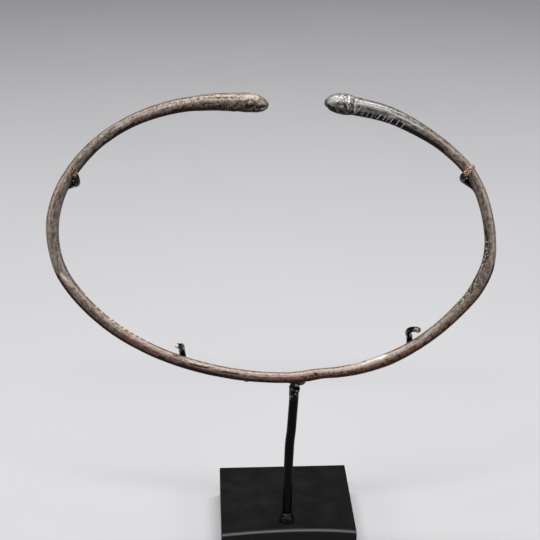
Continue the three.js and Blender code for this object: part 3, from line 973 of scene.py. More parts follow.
@dataclass
class Skin:
    """Places on the torc's skin, how each lies on the bar, and the masks that its finish reads."""

    ring: RingLine
    along: np.ndarray
    up: np.ndarray
    front: np.ndarray

    def __post_init__(self) -> None:
        """Works out how each place lies on the bar, and starts the masks empty."""
        self.size = np.maximum(np.hypot(self.up, self.front), 1e-9)
        self.facing = self.front / self.size
        self.share = self.up / np.maximum(self.ring.radius(self.along), 1e-9)
        self.outward = self.ring.outward(self.along)
        self.from_right = self.ring.length - self.along
        self.back = self.ring.back(self.along)
        self.straight = np.stack([self.along, self.up, self.front], axis=-1)
        self.masks = {name: np.zeros(len(self.along)) for name in MASKS}

    def lumps(self, rows: tuple[tuple[float, int, float], ...]) -> np.ndarray:
        """Adds up lumps of several (size, seed, height)."""
        return sum(height * grain(self.straight, size, seed) for size, seed, height in rows)

    def head(self, name: str) -> np.ndarray:
        """A size of the nearer head for each place."""
        return self.ring.heads(self.along, name)


@dataclass
class Torc:
    """The bronze torc: one cast bar, swelling into a snake head at each end.

    Heights and depths are in mm, and the shades that the masks take run from 0 to 1.
    """

    ring: RingLine
    sides: int = 64
    head_spread: float = 1.08
    flat_cut: float = 0.10
    flat_turn: float = math.radians(40)
    droop_reach: float = 0.55
    parallax: float = 0.1
    eye_boss: float = 0.38
    lid_depth: float = 0.20
    mouth_depth: float = 0.36
    mouth_reach: float = 0.45
    jaw_swell: float = 0.10
    brow_height: float = 0.07
    nostril_depth: float = 0.2
    crease_depth: float = 0.10
    rib_pitch: float = 0.97
    rib_height: float = 0.06
    pit_depth: float = 0.04
    facet_depth: float = 0.07
    mark_gain: float = 1.25
    scratch_depth: float = 0.08
    crust_depth: float = 0.03
    steps: Stations = (
        (0, 0.10), (3, 0.14), (33, 0.16), (48, 0.32), (120, 0.34), (168, 0.28), (230, 0.30),
        (262, 0.34), (330, 0.36), (350, 0.32), (364, 0.15), (391, 0.13), (394.5, 0.10),
    )

    def section(self, along: np.ndarray, turn: np.ndarray) -> tuple[np.ndarray, np.ndarray]:
        """The smooth bar before it is carved.

        Args:
            along: lengths along the bar.
            turn: turns round it from its back.

        Returns:
            How far each place lies outward from the bar's centre, and to its front.
        """
        radius = self.ring.radius(along)
        angle = (turn - 0.25) * 2 * math.pi
        outward, front = radius * np.cos(angle), radius * np.sin(angle)
        back, length = self.ring.back(along), self.ring.heads(along, "length")
        spread = 1 + (self.head_spread - 1) * (1 - rise(back / length, 1, 2.5))
        flat = band(along / self.ring.length, 0.70, 0.83, 0.03)
        inward, ahead = math.cos(self.flat_turn), math.sin(self.flat_turn)
        level = radius * (1 - self.flat_cut * flat)
        proud = np.maximum(-outward * inward + front * ahead - level, 0) * (flat > 0)
        return outward + proud * inward, (front - proud * ahead) * spread

    def droop(self, along: np.ndarray) -> np.ndarray:
        """How far the snout sinks below the bar's line.

        Args:
            along: lengths along the bar.

        Returns:
            The falls, in mm.
        """
        back, length = self.ring.back(along), self.ring.heads(along, "length")
        fall = 1 - rise(back / length, 0, self.droop_reach)
        return self.ring.heads(along, "snout_drop") * self.ring.heads(along, "depth") * fall

    def carve_face(self, back: np.ndarray, up: np.ndarray, flank: np.ndarray,
                   head: HeadPlan) -> tuple[np.ndarray, np.ndarray]:
        """Carves one head: bossed eyes in a lid ring, mouth, jaw, brow and the crease behind it.

        Args:
            back: mm back from the snout.
            up: mm outward from the head's middle.
            flank: 1 on the two sides of the head, 0 on its crown and throat.
            head: the head's plan.

        Returns:
            How far the skin moves out, in mm, and the shade painted into its grooves.
        """
        depth, length = head.depth, head.length
        side = rise(flank, 0.15, 0.75)
        eye = np.hypot((back - head.eye_back * length) / 1.25, up - head.eye_up * depth)
        boss = np.sqrt(np.clip(1 - eye ** 2, 0, 1)) * side
        lid = bell(eye - 1.15, 0.18) * side
        gape = back / (self.mouth_reach * length)
        lip = depth * np.interp(gape, (0, 1), (head.lip_front, head.lip_back))
        mouth = bell(up - lip, 0.24) * (1 - rise(gape, 0.85, 1.1)) * rise(back, 0.2, 1.0)
        jaw = bell(up - lip + 0.75, 0.45) * band(back, 1.2, 0.42 * length, 0.8) * side
        brow_line = (head.eye_up + 0.17) * depth + 0.03 * (back - head.eye_back * length)
        brow = bell(up - brow_line, 0.3) * band(back, 0.3 * length, 0.85 * length, 0.8) * side
        nostril = bell(np.hypot(back - 0.13 * length, up - 0.1 * depth), 0.32) * side
        crease = bell(back - 0.93 * length, 0.34)
        proud = self.eye_boss * boss + self.jaw_swell * jaw + self.brow_height * brow
        cut = self.lid_depth * lid + self.mouth_depth * mouth + self.nostril_depth * nostril
        # Painted shade in the mouth, the lid groove, the nostril and the crease behind the head.
        dark = 0.9 * mouth + 0.4 * lid + 0.4 * nostril + 0.15 * crease
        return proud - cut - self.crease_depth * crease, dark

    def carve_heads(self, skin: Skin) -> np.ndarray:
        """Carves both faces and paints shade into their grooves.

        Args:
            skin: the places, whose masks take the shades.

        Returns:
            How far the skin moves out, in mm.
        """
        push = np.zeros(len(skin.along))
        for head, back in ((LEFT_HEAD, skin.along), (RIGHT_HEAD, skin.from_right)):
            here = 1 - rise(back, head.length + 0.5, head.length + 2.5)
            move, dark = self.carve_face(back, skin.up, np.abs(skin.facing), head)
            push += here * move
            skin.masks["hollow"] += here * dark
        return push

    def carve_ribs(self, skin: Skin) -> np.ndarray:
        """Cuts the fine cross ribs on the left neck's flank.

        Args:
            skin: the places, whose masks take the shades.

        Returns:
            How far the skin moves out, in mm.
        """
        back, up = skin.along, skin.up
        reach = band(back, 12.0, 48, 3.0) * rise(skin.facing, 0.1, 0.5) * (1 - rise(up, -0.3, 0.9))
        dots = np.stack([back, up, skin.facing * 3], axis=-1)
        reach = reach * (0.35 + 0.65 * rise(grain(dots, 0.7, 13), -0.5, 0.4))
        wave = np.cos(2 * math.pi * (back + 0.12 * up) / self.rib_pitch)
        ribs = reach * (0.5 + 0.5 * band(back, 14, 34, 3))
        skin.masks["hollow"] += 0.42 * ribs * rise(-wave, 0.1, 0.9) * rise(-up, -0.4, 1.4)
        skin.masks["worn"] += 0.35 * ribs * rise(wave, 0.2, 0.9)
        return self.rib_height * ribs * wave

    def draw_marks(self, skin: Skin) -> np.ndarray:
        """Draws the marks and the fine scratches on the front.

        Args:
            skin: the places, whose masks take the shades.

        Returns:
            How far the skin moves out, in mm.
        """
        seen = skin.up - self.droop(skin.along) + self.parallax * skin.front
        push = np.zeros(len(seen))
        facing = rise(skin.facing, 0.0, 0.25)
        for mark in MARKS:
            first, last = sorted((mark.start[0], mark.end[0]))
            reach = 3 * mark.width
            near = (skin.along > first - reach) & (skin.along < last + reach)
            away = segment_distance(skin.along[near], seen[near], mark.start, mark.end)
            line = bell(away, mark.width) * facing[near]
            skin.masks[mark.mask][near] += self.mark_gain * mark.share * line
            push[near] += mark.height * line
        for mark in SCRATCHES:
            line = bell(segment_distance(skin.along, seen, mark.start, mark.end), mark.width) * facing
            skin.masks["ink"] = np.maximum(skin.masks["ink"], mark.share * rise(line, 0.2, 0.8))
            push -= self.scratch_depth * line
        return push

    def weather(self, skin: Skin) -> np.ndarray:
        """Wears the plain bar: casting lumps, pits, a flattened facet, chip and chalky crumbs.

        Args:
            skin: the places, whose masks take the shades.

        Returns:
            How far the skin moves out, in mm.
        """
        along, up, facing, masks = skin.along, skin.up, skin.facing, skin.masks
        pits = rise(grain(skin.straight, 0.9, 6), 0.6, 0.85)
        facet = band(along, 281, 312, 5) * rise(-up, 0.7, 1.3)
        rim = band(along, 268, 316, 5) * bell(up + 0.75, 0.2) * rise(facing, 0.1, 0.4)
        fleck = grain(skin.straight, 0.4, 7)
        worn_in = rise(fleck, 0.0, 0.4)
        chip = bell(np.hypot(along - CHIP.along, up - CHIP.up), CHIP.radius) * rise(facing, 0.1, 0.4)
        smear = bell(along - CHIP.along - 0.3, 0.7) * band(up, CHIP.up, 2.6, 0.4) * rise(facing, 0.0, 0.3)
        masks["hollow"] += 0.35 * pits + facet * (0.4 + 0.55 * worn_in) + 0.5 * rim
        masks["hollow"] += 1.1 * rise(chip, 0.3, 0.8) + 0.4 * smear
        masks["chalk"] += 0.6 * facet * rise(-fleck, 0.3, 0.55)
        masks["green"] += 0.7 * smear
        push = skin.lumps(CASTING_LUMPS) - self.pit_depth * pits - self.facet_depth * facet * worn_in
        push += CHIP.height * rise(chip, 0.2, 0.9)
        for crumb in CRUMBS:
            near = np.hypot(along - crumb.along, np.hypot(up - crumb.up, 0.5 * (facing * 2.3 - 0.5)))
            lump = bell(near, crumb.radius)
            masks[crumb.mask] = np.maximum(masks[crumb.mask], rise(lump, 0.3, 0.7))
            push += crumb.height * lump
        return push

    def shade_bar(self, skin: Skin) -> None:
        """Paints shade on the side that faces down and on the lower arc's outer side, paints a highlight
        along the lower arc's inner ridge, and lightens and flecks the arcs.

        Args:
            skin: the places, whose masks take the shades.
        """
        along, share, facing, masks = skin.along, skin.share, skin.facing, skin.masks
        # Painted shade on the side that faces down, kept lighter near the heads.
        height = (skin.outward[:, 1] * skin.up * math.cos(LEAN) + skin.front * math.sin(LEAN)) / skin.size
        plain = 0.55 + 0.2 * rise(skin.back, 8, 16) + 0.25 * rise(along, 16, 60)
        masks["hollow"] += 0.8 * plain * rise(-height, 0.33 - 0.45 * plain, 0.55)
        masks["hollow"] += 0.25 * plain * rise(-height, -0.35, 0.2)
        masks["worn"] += 0.35 * (1 - rise(along, 9, 40)) * rise(share, 0.1, 0.8)
        arms = band(along, 50, 116, 10) + band(along, 296, 346, 12)
        masks["worn"] += 0.2 * rise(share, -0.3, 0.5) * arms
        # Painted highlight along the lower arc's inner edge, and painted shade on its outer side.
        lower_arc = band(along, 132, 268, 10)
        masks["worn"] += 0.4 * lower_arc * band(share, -0.92, -0.5, 0.12) * rise(facing, 0.0, 0.3)
        masks["hollow"] += 0.22 * lower_arc * rise(share, -0.3, 0.3)
        # Copper flakes and dark specks on the front of the lower-right arc, darker towards its outer side.
        ember = band(along, 208, 290, 8) * rise(facing, 0.0, 0.3) * rise(share, -0.5, 0.2)
        flake = grain(skin.straight, 0.55, 17)
        masks["copper"] += ember * (0.05 + 0.13 * rise(flake, 0.0, 0.5))
        masks["hollow"] += ember * (0.14 + 0.5 * rise(-flake, 0.05, 0.5))
        speck = rise(grain(skin.straight, 0.42, 14), 0.1, 0.55)
        masks["hollow"] += 0.35 * speck * rise(share, -0.2, 0.4) * (1 - rise(along, 60, 90))
        masks["hollow"] += 0.2 * speck * band(along, 110, 262, 10)
        masks["red"] += 0.75 * band(along, 128, 262, 16) * (0.4 + 0.6 * rise(share, -0.2, 0.6))

    def shade_necks(self, skin: Skin) -> None:
        """Stipples the left neck, freckles its flank and cools the right neck to gunmetal.

        Args:
            skin: the places, whose masks take the shades.
        """
        along, share, masks = skin.along, skin.share, skin.masks
        stipple = grain(skin.straight, 0.5, 16) * band(along, 11, 72, 5) * rise(skin.facing, 0.0, 0.3)
        masks["worn"] += 0.42 * rise(stipple, 0.08, 0.5) * (1 - 0.6 * rise(share, 0.3, 0.7))
        masks["hollow"] += 0.4 * rise(-stipple, 0.12, 0.5)
        freckle = band(along, 5, 34, 4) * band(skin.up, -2.8, -0.3, 0.4) * rise(skin.facing, 0.0, 0.2)
        masks["hollow"] += freckle * (0.15 + 0.6 * rise(grain(skin.straight, 0.5, 12), 0.0, 0.4))
        masks["red"] += freckle
        cool = (1 - rise(skin.from_right, 34, 48)) * rise(skin.from_right, 0.5, 2.5)
        masks["gun"] += cool * (1 - 0.4 * rise(-share, 0.3, 0.8))

    def shade_heads(self, skin: Skin) -> np.ndarray:
        """Mottles both heads but for their eyes, and speckles the right crown light and dark, partly
        scribbles and partly a painted highlight.

        Args:
            skin: the places, whose masks take the shades.

        Returns:
            How far the skin moves out, in mm.
        """
        masks = skin.masks
        eye_gap = np.hypot(skin.back - skin.head("eye_back") * skin.head("length"),
                           skin.up - skin.head("eye_up") * skin.head("depth"))
        crust = grain(skin.straight, 0.5, 15) * (1 - rise(skin.back, 12, 18)) * rise(eye_gap, 0.9, 1.9)
        masks["hollow"] += 0.26 * rise(crust, 0.12, 0.5)
        masks["red"] += 0.5 * rise(crust, 0.0, 0.4) * (skin.along < 20)
        masks["chalk"] += 0.2 * rise(-crust, 0.15, 0.5)
        # Light and dark speckles on the right crown: partly scribbles, partly a painted highlight.
        crown = band(skin.along, 384.6, 392.4, 0.4) * band(skin.up, 0.9, 3.4, 0.3)
        crown = crown * rise(skin.facing, 0.0, 0.2)
        scribble = grain(skin.straight, 0.45, 11)
        masks["ink"] += 0.45 * crown * rise(scribble, 0.15, 0.5)
        masks["hollow"] += 0.4 * crown * rise(-scribble, 0.1, 0.5)
        return -self.crust_depth * crust

    def place(self, along: np.ndarray, turn: np.ndarray) -> tuple[np.ndarray, dict[str, np.ndarray]]:
        """Places the carved skin and keeps its masks.

        Args:
            along: lengths along the bar.
            turn: turns round it, from 0 to 1.

        Returns:
            The places in the frame, and the masks by name.
        """
        skin = Skin(self.ring, along, *self.section(along, turn))
        on_bar = rise(skin.back, 8, 14)
        push = on_bar * self.weather(skin) + (1 - on_bar) * skin.lumps(HEAD_LUMPS)
        push += self.carve_heads(skin) + self.carve_ribs(skin) + self.draw_marks(skin)
        self.shade_bar(skin)
        self.shade_necks(skin)
        push += self.shade_heads(skin)
        scale = 1 + push / skin.size
        local = self.ring.course.point(along)
        local = local + skin.outward * (skin.up * scale - self.droop(along))[:, None]
        local[:, 2] = skin.front * scale
        masks = {name: np.clip(values, 0, 1) for name, values in skin.masks.items()}
        return self.ring.stand(local), {**masks, "straight": skin.straight}

    def build(self) -> bpy.types.Object:
        """Models the torc as one skin, closer-stepped over its heads and necks."""
        stations = spread_stations(self.ring.length, self.steps)
        return roll_rod("torc_bronze", stations, self.sides, self.place)

    def dress(self, piece: bpy.types.Object) -> None:
        """Gives the torc its patina and its place."""
        enter(piece, "torc", BronzePatina().mix())


# The wire cradle and its claws

ClawCourse = tuple[tuple[float, float, float], ...]


@dataclass(frozen=True)
class Claw:
    """One claw on the bar, from its root to its tip.

    It stands at a share of the bar's length, on a course of (mm along, degrees round, mm off).
    Its tip is flatter and wider by flat and width. Its brown tone has a strength and reaches
    toned mm back from the tip, and a light tip, partly exposed metal and partly a painted glint, reaches
    its own given mm back.
    """

    share: float
    course: ClawCourse
    flat: float
    width: float
    toned: float
    strength: float
    bare: float = -1.0


UPPER_LEFT = Claw(share=0.2045, course=(
    (8, 176, 0), (4.2, 168, 0), (2, 140, 0.1), (0.6, 95, 0.1), (-1.3, 48, 0), (-3.0, 10, 0),
    (-4.1, -12, -0.1),
), flat=0.80, width=1.0, toned=3.8, strength=0.75)
UPPER_RIGHT = Claw(share=0.8440, course=(
    (-9, 176, 0), (-5, 168, 0), (-2, 140, 0), (0.6, 100, 0), (1.9, 50, 0), (2.3, 0, 0), (2.4, -42, 0),
), flat=0.68, width=1.05, toned=5.0, strength=1.0)
# Its tip is painted light: exposed metal with a painted glint.
LOWER_LEFT = Claw(share=0.4316, course=(
    (7, 180, 2.6), (2.6, 180, 2.6), (0.4, 150, 2.6), (-0.4, 118, 2.0), (-0.7, 90, 1.5), (-1.7, 68, 2.0),
    (-2.7, 55, 2.3),
), flat=1.0, width=1.0, toned=-1.0, strength=0.0, bare=0.62)
LOWER_RIGHT = Claw(share=0.6580, course=(
    (-7, 180, 2.6), (-2.6, 180, 2.6), (-0.4, 150, 2.5), (-0.2, 122, 2.0), (0.8, 94, 2.0), (2.4, 70, 1.9),
    (3.9, 53, 1.0),
), flat=0.80, width=1.3, toned=2.2, strength=0.5)


@dataclass
class WireWork:
    """The wire behind the bar with its two upper claws, and the two claws brazed on below."""

    ring: RingLine
    sides: int = 28
    taper: float = 7.0
    tip_share: float = 0.80
    span: float = 10.2
    bar_samples: int = 2400
    gloss: float = 0.2

    def claw_points(self, claw: Claw) -> np.ndarray:
        """The claw's centre line, root first, in the ring's plane."""
        along, degrees, off = np.array(claw.course).T
        return self.ring.beside(claw.share * self.ring.length + along, degrees, off)

    def cradle_course(self) -> Course:
        """From the left claw's tip, behind the bar round the lower arc, to the right claw's tip.

        Returns:
            The wire's centre line, in the ring's plane.
        """
        start = UPPER_LEFT.share * self.ring.length + UPPER_LEFT.course[0][0]
        end = UPPER_RIGHT.share * self.ring.length + UPPER_RIGHT.course[0][0]
        count = round((end - start) / self.span)
        middle = start + (end - start) * np.arange(1, count) / count
        behind = self.ring.beside(middle, np.full(count - 1, BEHIND), np.zeros(count - 1))
        left, right = self.claw_points(UPPER_LEFT), self.claw_points(UPPER_RIGHT)
        return Course(np.vstack([left[::-1], behind, right]))

    def placer(self, course: Course, first: Claw | None, last: Claw) -> Placer:
        """How a wire is placed: round along its run, thinner and flatter towards its claw tips.

        Args:
            course: the wire's centre line in the ring's plane.
            first: the claw at its start, if that end is a tip.
            last: the claw at its end.

        Returns:
            The placer for roll_rod.
        """
        bar = self.ring.course.point(np.linspace(0, self.ring.length, self.bar_samples))

        def place(along: np.ndarray, turn: np.ndarray) -> tuple[np.ndarray, dict[str, np.ndarray]]:
            """Places the wire's skin and masks its toned tips.

            Args:
                along: lengths along the wire.
                turn: turns round it, from 0 to 1.

            Returns:
                The places in the frame, and the masks by name.
            """
            rows, row_of = np.unique(along, return_inverse=True)
            centre, way = course.point(rows), course.tangent(rows)
            nearest = np.argmin(((centre[:, None, :] - bar[None]) ** 2).sum(-1), axis=1)
            inward = bar[nearest] - centre
            inward -= (inward * way).sum(-1, keepdims=True) * way
            inward /= np.linalg.norm(inward, axis=-1, keepdims=True)
            across = np.cross(way, inward)
            thick = np.full(len(rows), WIRE_RADIUS)
            wide = np.full(len(rows), WIRE_RADIUS)
            toned, bare = np.zeros(len(rows)), np.zeros(len(rows))
            for claw, tip in ((first, rows), (last, course.length - rows)):
                if claw is None:
                    continue
                near = 1 - rise(tip, 0.5, self.taper)
                thin = 1 - (1 - self.tip_share) * near
                thick *= thin * (1 - (1 - claw.flat) * near)
                wide *= thin * (1 + (claw.width - 1) * near)
                toned += claw.strength * (1 - rise(tip, claw.toned - 0.8, claw.toned + 0.5))
                # A light tip of exposed metal with a painted glint.
                bare += 1 - rise(tip, claw.bare - 0.2, claw.bare + 0.3)
            cap = round_ends(rows, course.length, WIRE_RADIUS)
            angle = turn * 2 * math.pi
            spine = np.stack([along, np.cos(angle), np.sin(angle)], axis=-1)
            lump = 1 + 0.035 * grain(spine, 2.4, 21) + 0.02 * grain(spine, 0.9, 22)
            skin = centre[row_of]
            skin = skin + inward[row_of] * ((thick * cap)[row_of] * lump * np.cos(angle))[:, None]
            skin = skin + across[row_of] * ((wide * cap)[row_of] * lump * np.sin(angle))[:, None]
            masks = {"toned": np.clip(toned, 0, 1)[row_of], "bare": np.clip(bare, 0, 1)[row_of]}
            return self.ring.stand(skin), {**masks, "gloss": np.full(len(along), self.gloss)}

        return place

    def build_cradle(self) -> bpy.types.Object:
        """Models the wire behind the bar with its two upper claws.

        Returns:
            The piece.
        """
        course = self.cradle_course()
        end = course.length
        steps = ((0, 0.2), (20, 0.28), (30, 0.6), (end - 30, 0.6), (end - 20, 0.28), (end, 0.2))
        place = self.placer(course, UPPER_LEFT, UPPER_RIGHT)
        return roll_rod("cradle_wire_painted", spread_stations(end, steps), self.sides, place)

    def build_lower(self, name: str, claw: Claw) -> bpy.types.Object:
        """Models one lower claw.

        Args:
            name: the piece's name.
            claw: its sizes.

        Returns:
            The piece.
        """
        course = Course(self.claw_points(claw))
        stations = spread_stations(course.length, ((0, 0.22), (course.length, 0.2)))
        return roll_rod(name, stations, self.sides, self.placer(course, None, claw))

    def dress(self, piece: bpy.types.Object, node: str, paint: bpy.types.Material) -> None:
        """Gives a wire its paint and its place."""
        enter(piece, node, paint)


# The stem and its bead

@dataclass
class Stem:
    """The stem rod with its lumpy braze, and the bead round its foot."""

    ring: RingLine
    sides: int = 32
    step: float = 0.4
    braze_length: float = 8.0
    fillet_place: tuple[float, float, float] = (0.9, 0, -1.7)
    fillet_size: tuple[float, float, float] = (3.4, 2.15, 2.1)
    lumps: int = 9
    lump_turn: float = 2.4
    lump_aside: float = 0.55
    lump_size: float = 0.66
    bare_glint_spot_place: tuple[float, float, float] = (0.6, -1.4, -3.0)
    socket_floor: float = 6.0
    voxel: float = 0.2
    bead_outer: float = 2.95
    bead_height: float = 3.7
    bead_top: float = 0.3
    bead_foot: float = 0.5
    bead_points: int = 40
    bead_steps: int = 72
    bead_gloss: float = 0.4
    bar_room: float = 0.12
    bar_reach: float = 12.0

    def course(self) -> Course:
        """The stem's centre line in the frame, from the socket up.

        Returns:
            The line.
        """
        points = [np.array([STEM_FOOT[0], STEM_FOOT[1], self.socket_floor])]
        for up, aside in STEM_COURSE:
            points.append(STEM_FOOT + np.array([aside * STEM_KINK, 0, up * STEM_HEIGHT]))
        return Course(np.array(points))

    def ball(self, centre: np.ndarray, radii: tuple[float, float, float]) -> bpy.types.Object:
        """Adds one lump of braze.

        Args:
            centre: its place in the frame.
            radii: its three half sizes, in mm.

        Returns:
            The lump.
        """
        deselect()
        bpy.ops.mesh.primitive_ico_sphere_add(subdivisions=4, radius=MM, location=centre * MM, scale=radii)
        settle(bpy.context.object)
        return bpy.context.object

    def build_rod(self) -> bpy.types.Object:
        """Models the plain rod with round ends.

        Returns:
            The piece.
        """
        course = self.course()

        def place(along: np.ndarray, turn: np.ndarray) -> tuple[np.ndarray, dict[str, np.ndarray]]:
            """Places the rod's skin, slightly uneven as painted iron is.

            Args:
                along: lengths along the rod.
                turn: turns round it, from 0 to 1.

            Returns:
                The places in the frame, and no masks.
            """
            way = course.tangent(along)
            side = np.cross(way, np.array([0.0, 1.0, 0.0]))
            side /= np.linalg.norm(side, axis=-1, keepdims=True)
            depth = np.cross(side, way)
            angle = turn * 2 * math.pi
            spine = np.stack([along, 3 * np.cos(angle), 3 * np.sin(angle)], axis=-1)
            cap = round_ends(along, course.length, STEM_RADIUS)
            radius = STEM_RADIUS * cap * (1 + 0.02 * grain(spine, 4.0, 31))
            skin = course.point(along) + side * (radius * np.cos(angle))[:, None]
            return skin + depth * (radius * np.sin(angle))[:, None], {}

        stations = spread_stations(course.length, ((0, self.step), (course.length, self.step)))
        return roll_rod("stem_rod", stations, self.sides, place)

    def build(self) -> bpy.types.Object:
        """Fuses the rod, the fillet under the wire and the lumps, then keeps the bar's room clear.

        Returns:
            The piece, with its masks.
        """
        rod = self.build_rod()
        course, top = self.course(), self.ring.stem_top
        parts = [rod, self.ball(top + np.array(self.fillet_place), self.fillet_size)]
        for i in range(self.lumps):
            down = self.braze_length * (i + 0.5) / self.lumps
            axis = course.point(np.array([course.length - down]))[0]
            turn = i * self.lump_turn
            aside = self.lump_aside * STEM_RADIUS * np.array([math.cos(turn), math.sin(turn), 0.0])
            size = self.lump_size * STEM_RADIUS * (1 + 0.12 * math.sin(3.1 * i))
            parts.append(self.ball(axis + aside, (size, size, 0.85 * size)))
        pick(rod)
        for part in parts:
            part.select_set(True)
        bpy.ops.object.join()
        stem = bpy.context.object
        stem.name = stem.data.name = "stem_painted"
        finish_modifier(stem, "REMESH", mode="VOXEL", voxel_size=self.voxel * MM)
        finish_modifier(stem, "SMOOTH", factor=0.5, iterations=4)
        self.knead(stem)
        self.clear_bar(stem)
        close_mesh(stem)
        places = corners_of(stem) / MM
        # A light spot under the bar and light flecks on the braze: exposed braze with painted glints.
        off = places - (top + np.array(self.bare_glint_spot_place))
        bare_glint_spot = rise(bell(np.hypot(off[:, 0] / 1.3, off[:, 2]), 0.6), 0.3, 0.8) * (off[:, 1] < 1.0)
        fleck = rise(grain(places, 0.6, 35), 0.42, 0.62) * rise(places[:, 2], top[2] - 9.5, top[2] - 7.5)
        bare = 0.8 * bare_glint_spot * (0.7 + 0.5 * grain(places, 0.5, 36)) + 0.75 * fleck
        keep_mask(stem, "bare", np.clip(bare, 0, 1))
        keep_mask(stem, "toned", 0.7 * bare_glint_spot)
        keep_mask(stem, "gloss", 0.05 + 0.06 * rise(places[:, 2], top[2] - 10, top[2] - 7))
        return stem

    def knead(self, stem: bpy.types.Object) -> None:
        """Roughens the braze into small lumps that catch the light.

        Args:
            stem: the piece.
        """
        places = corners_of(stem) / MM
        normals = np.empty(3 * len(places))
        stem.data.vertices.foreach_get("normal", normals)
        zone = rise(places[:, 2], self.ring.stem_top[2] - 9.0, self.ring.stem_top[2] - 7.0)
        lump = 0.28 * grain(places, 1.3, 33) + 0.15 * grain(places, 0.6, 34)
        set_corners(stem, (places + normals.reshape(-1, 3) * (zone * lump)[:, None]) * MM)

    def clear_bar(self, stem: bpy.types.Object) -> None:
        """Pushes braze off the bar, so that the torc can be lifted away.

        Args:
            stem: the piece.
        """
        places = corners_of(stem) / MM
        along = self.ring.over_stem + np.linspace(-self.bar_reach, self.bar_reach, 400)
        bar = self.ring.stand(self.ring.course.point(along))
        radius = self.ring.radius(along) + self.bar_room
        high = np.flatnonzero(places[:, 2] > self.ring.stem_top[2] - 6)
        gap = places[high][:, None, :] - bar[None]
        nearest = np.argmin((gap ** 2).sum(-1), axis=1)
        away = gap[np.arange(len(high)), nearest]
        reach = np.linalg.norm(away, axis=1)
        short = reach < radius[nearest]
        moved = bar[nearest] + away / reach[:, None] * radius[nearest][:, None]
        places[high[short]] = moved[short]
        set_corners(stem, places * MM)

    def build_bead(self) -> bpy.types.Object:
        """Spins the bead's domed section round the stem's foot.

        Returns:
            The piece, with its masks.
        """
        inner = STEM_RADIUS + 0.05
        base = BLOCK_HEIGHT + 0.02
        foot = self.bead_foot
        deselect()
        bpy.ops.mesh.primitive_circle_add(vertices=self.bead_points, radius=1, rotation=(math.pi / 2, 0, 0))
        bead = bpy.context.object
        bead.name = bead.data.name = "stem_bead_painted"
        settle(bead)
        ring = corners_of(bead)
        side, up = ring[:, 0], np.clip(ring[:, 2], 0, 1)
        flare = (self.bead_outer - inner - self.bead_top) * (1 - up) ** 1.7 + self.bead_top
        ring[:, 0] = inner + np.where(side > 0, flare * np.minimum(side / 0.35, 1), 0.04 * side)
        ring[:, 2] = foot + np.where(ring[:, 2] > 0, up * (self.bead_height - foot), foot * ring[:, 2])
        set_corners(bead, (ring + np.array([STEM_FOOT[0], STEM_FOOT[1], base])) * MM)
        with editing(bead):
            bpy.ops.mesh.spin(
                steps=self.bead_steps, angle=2 * math.pi, center=tuple(STEM_FOOT * MM), axis=(0, 0, 1))
        close_mesh(bead)
        places = corners_of(bead) / MM
        away = places - np.array([STEM_FOOT[0], STEM_FOOT[1], 0])
        swell = 1 + 0.03 * grain(places, 1.6, 41) * rise(np.hypot(away[:, 0], away[:, 1]), 2.0, 2.6)
        places[:, :2] = STEM_FOOT[:2] + away[:, :2] * swell[:, None]
        set_corners(bead, places * MM)
        keep_mask(bead, "toned", np.zeros(len(bead.data.vertices)))
        keep_mask(bead, "gloss", np.full(len(bead.data.vertices), self.bead_gloss))
        return bead

    def dress(self, piece: bpy.types.Object, node: str, paint: bpy.types.Material) -> None:
        """Gives the stem or its bead its paint and its place."""
        enter(piece, node, paint)


# The block

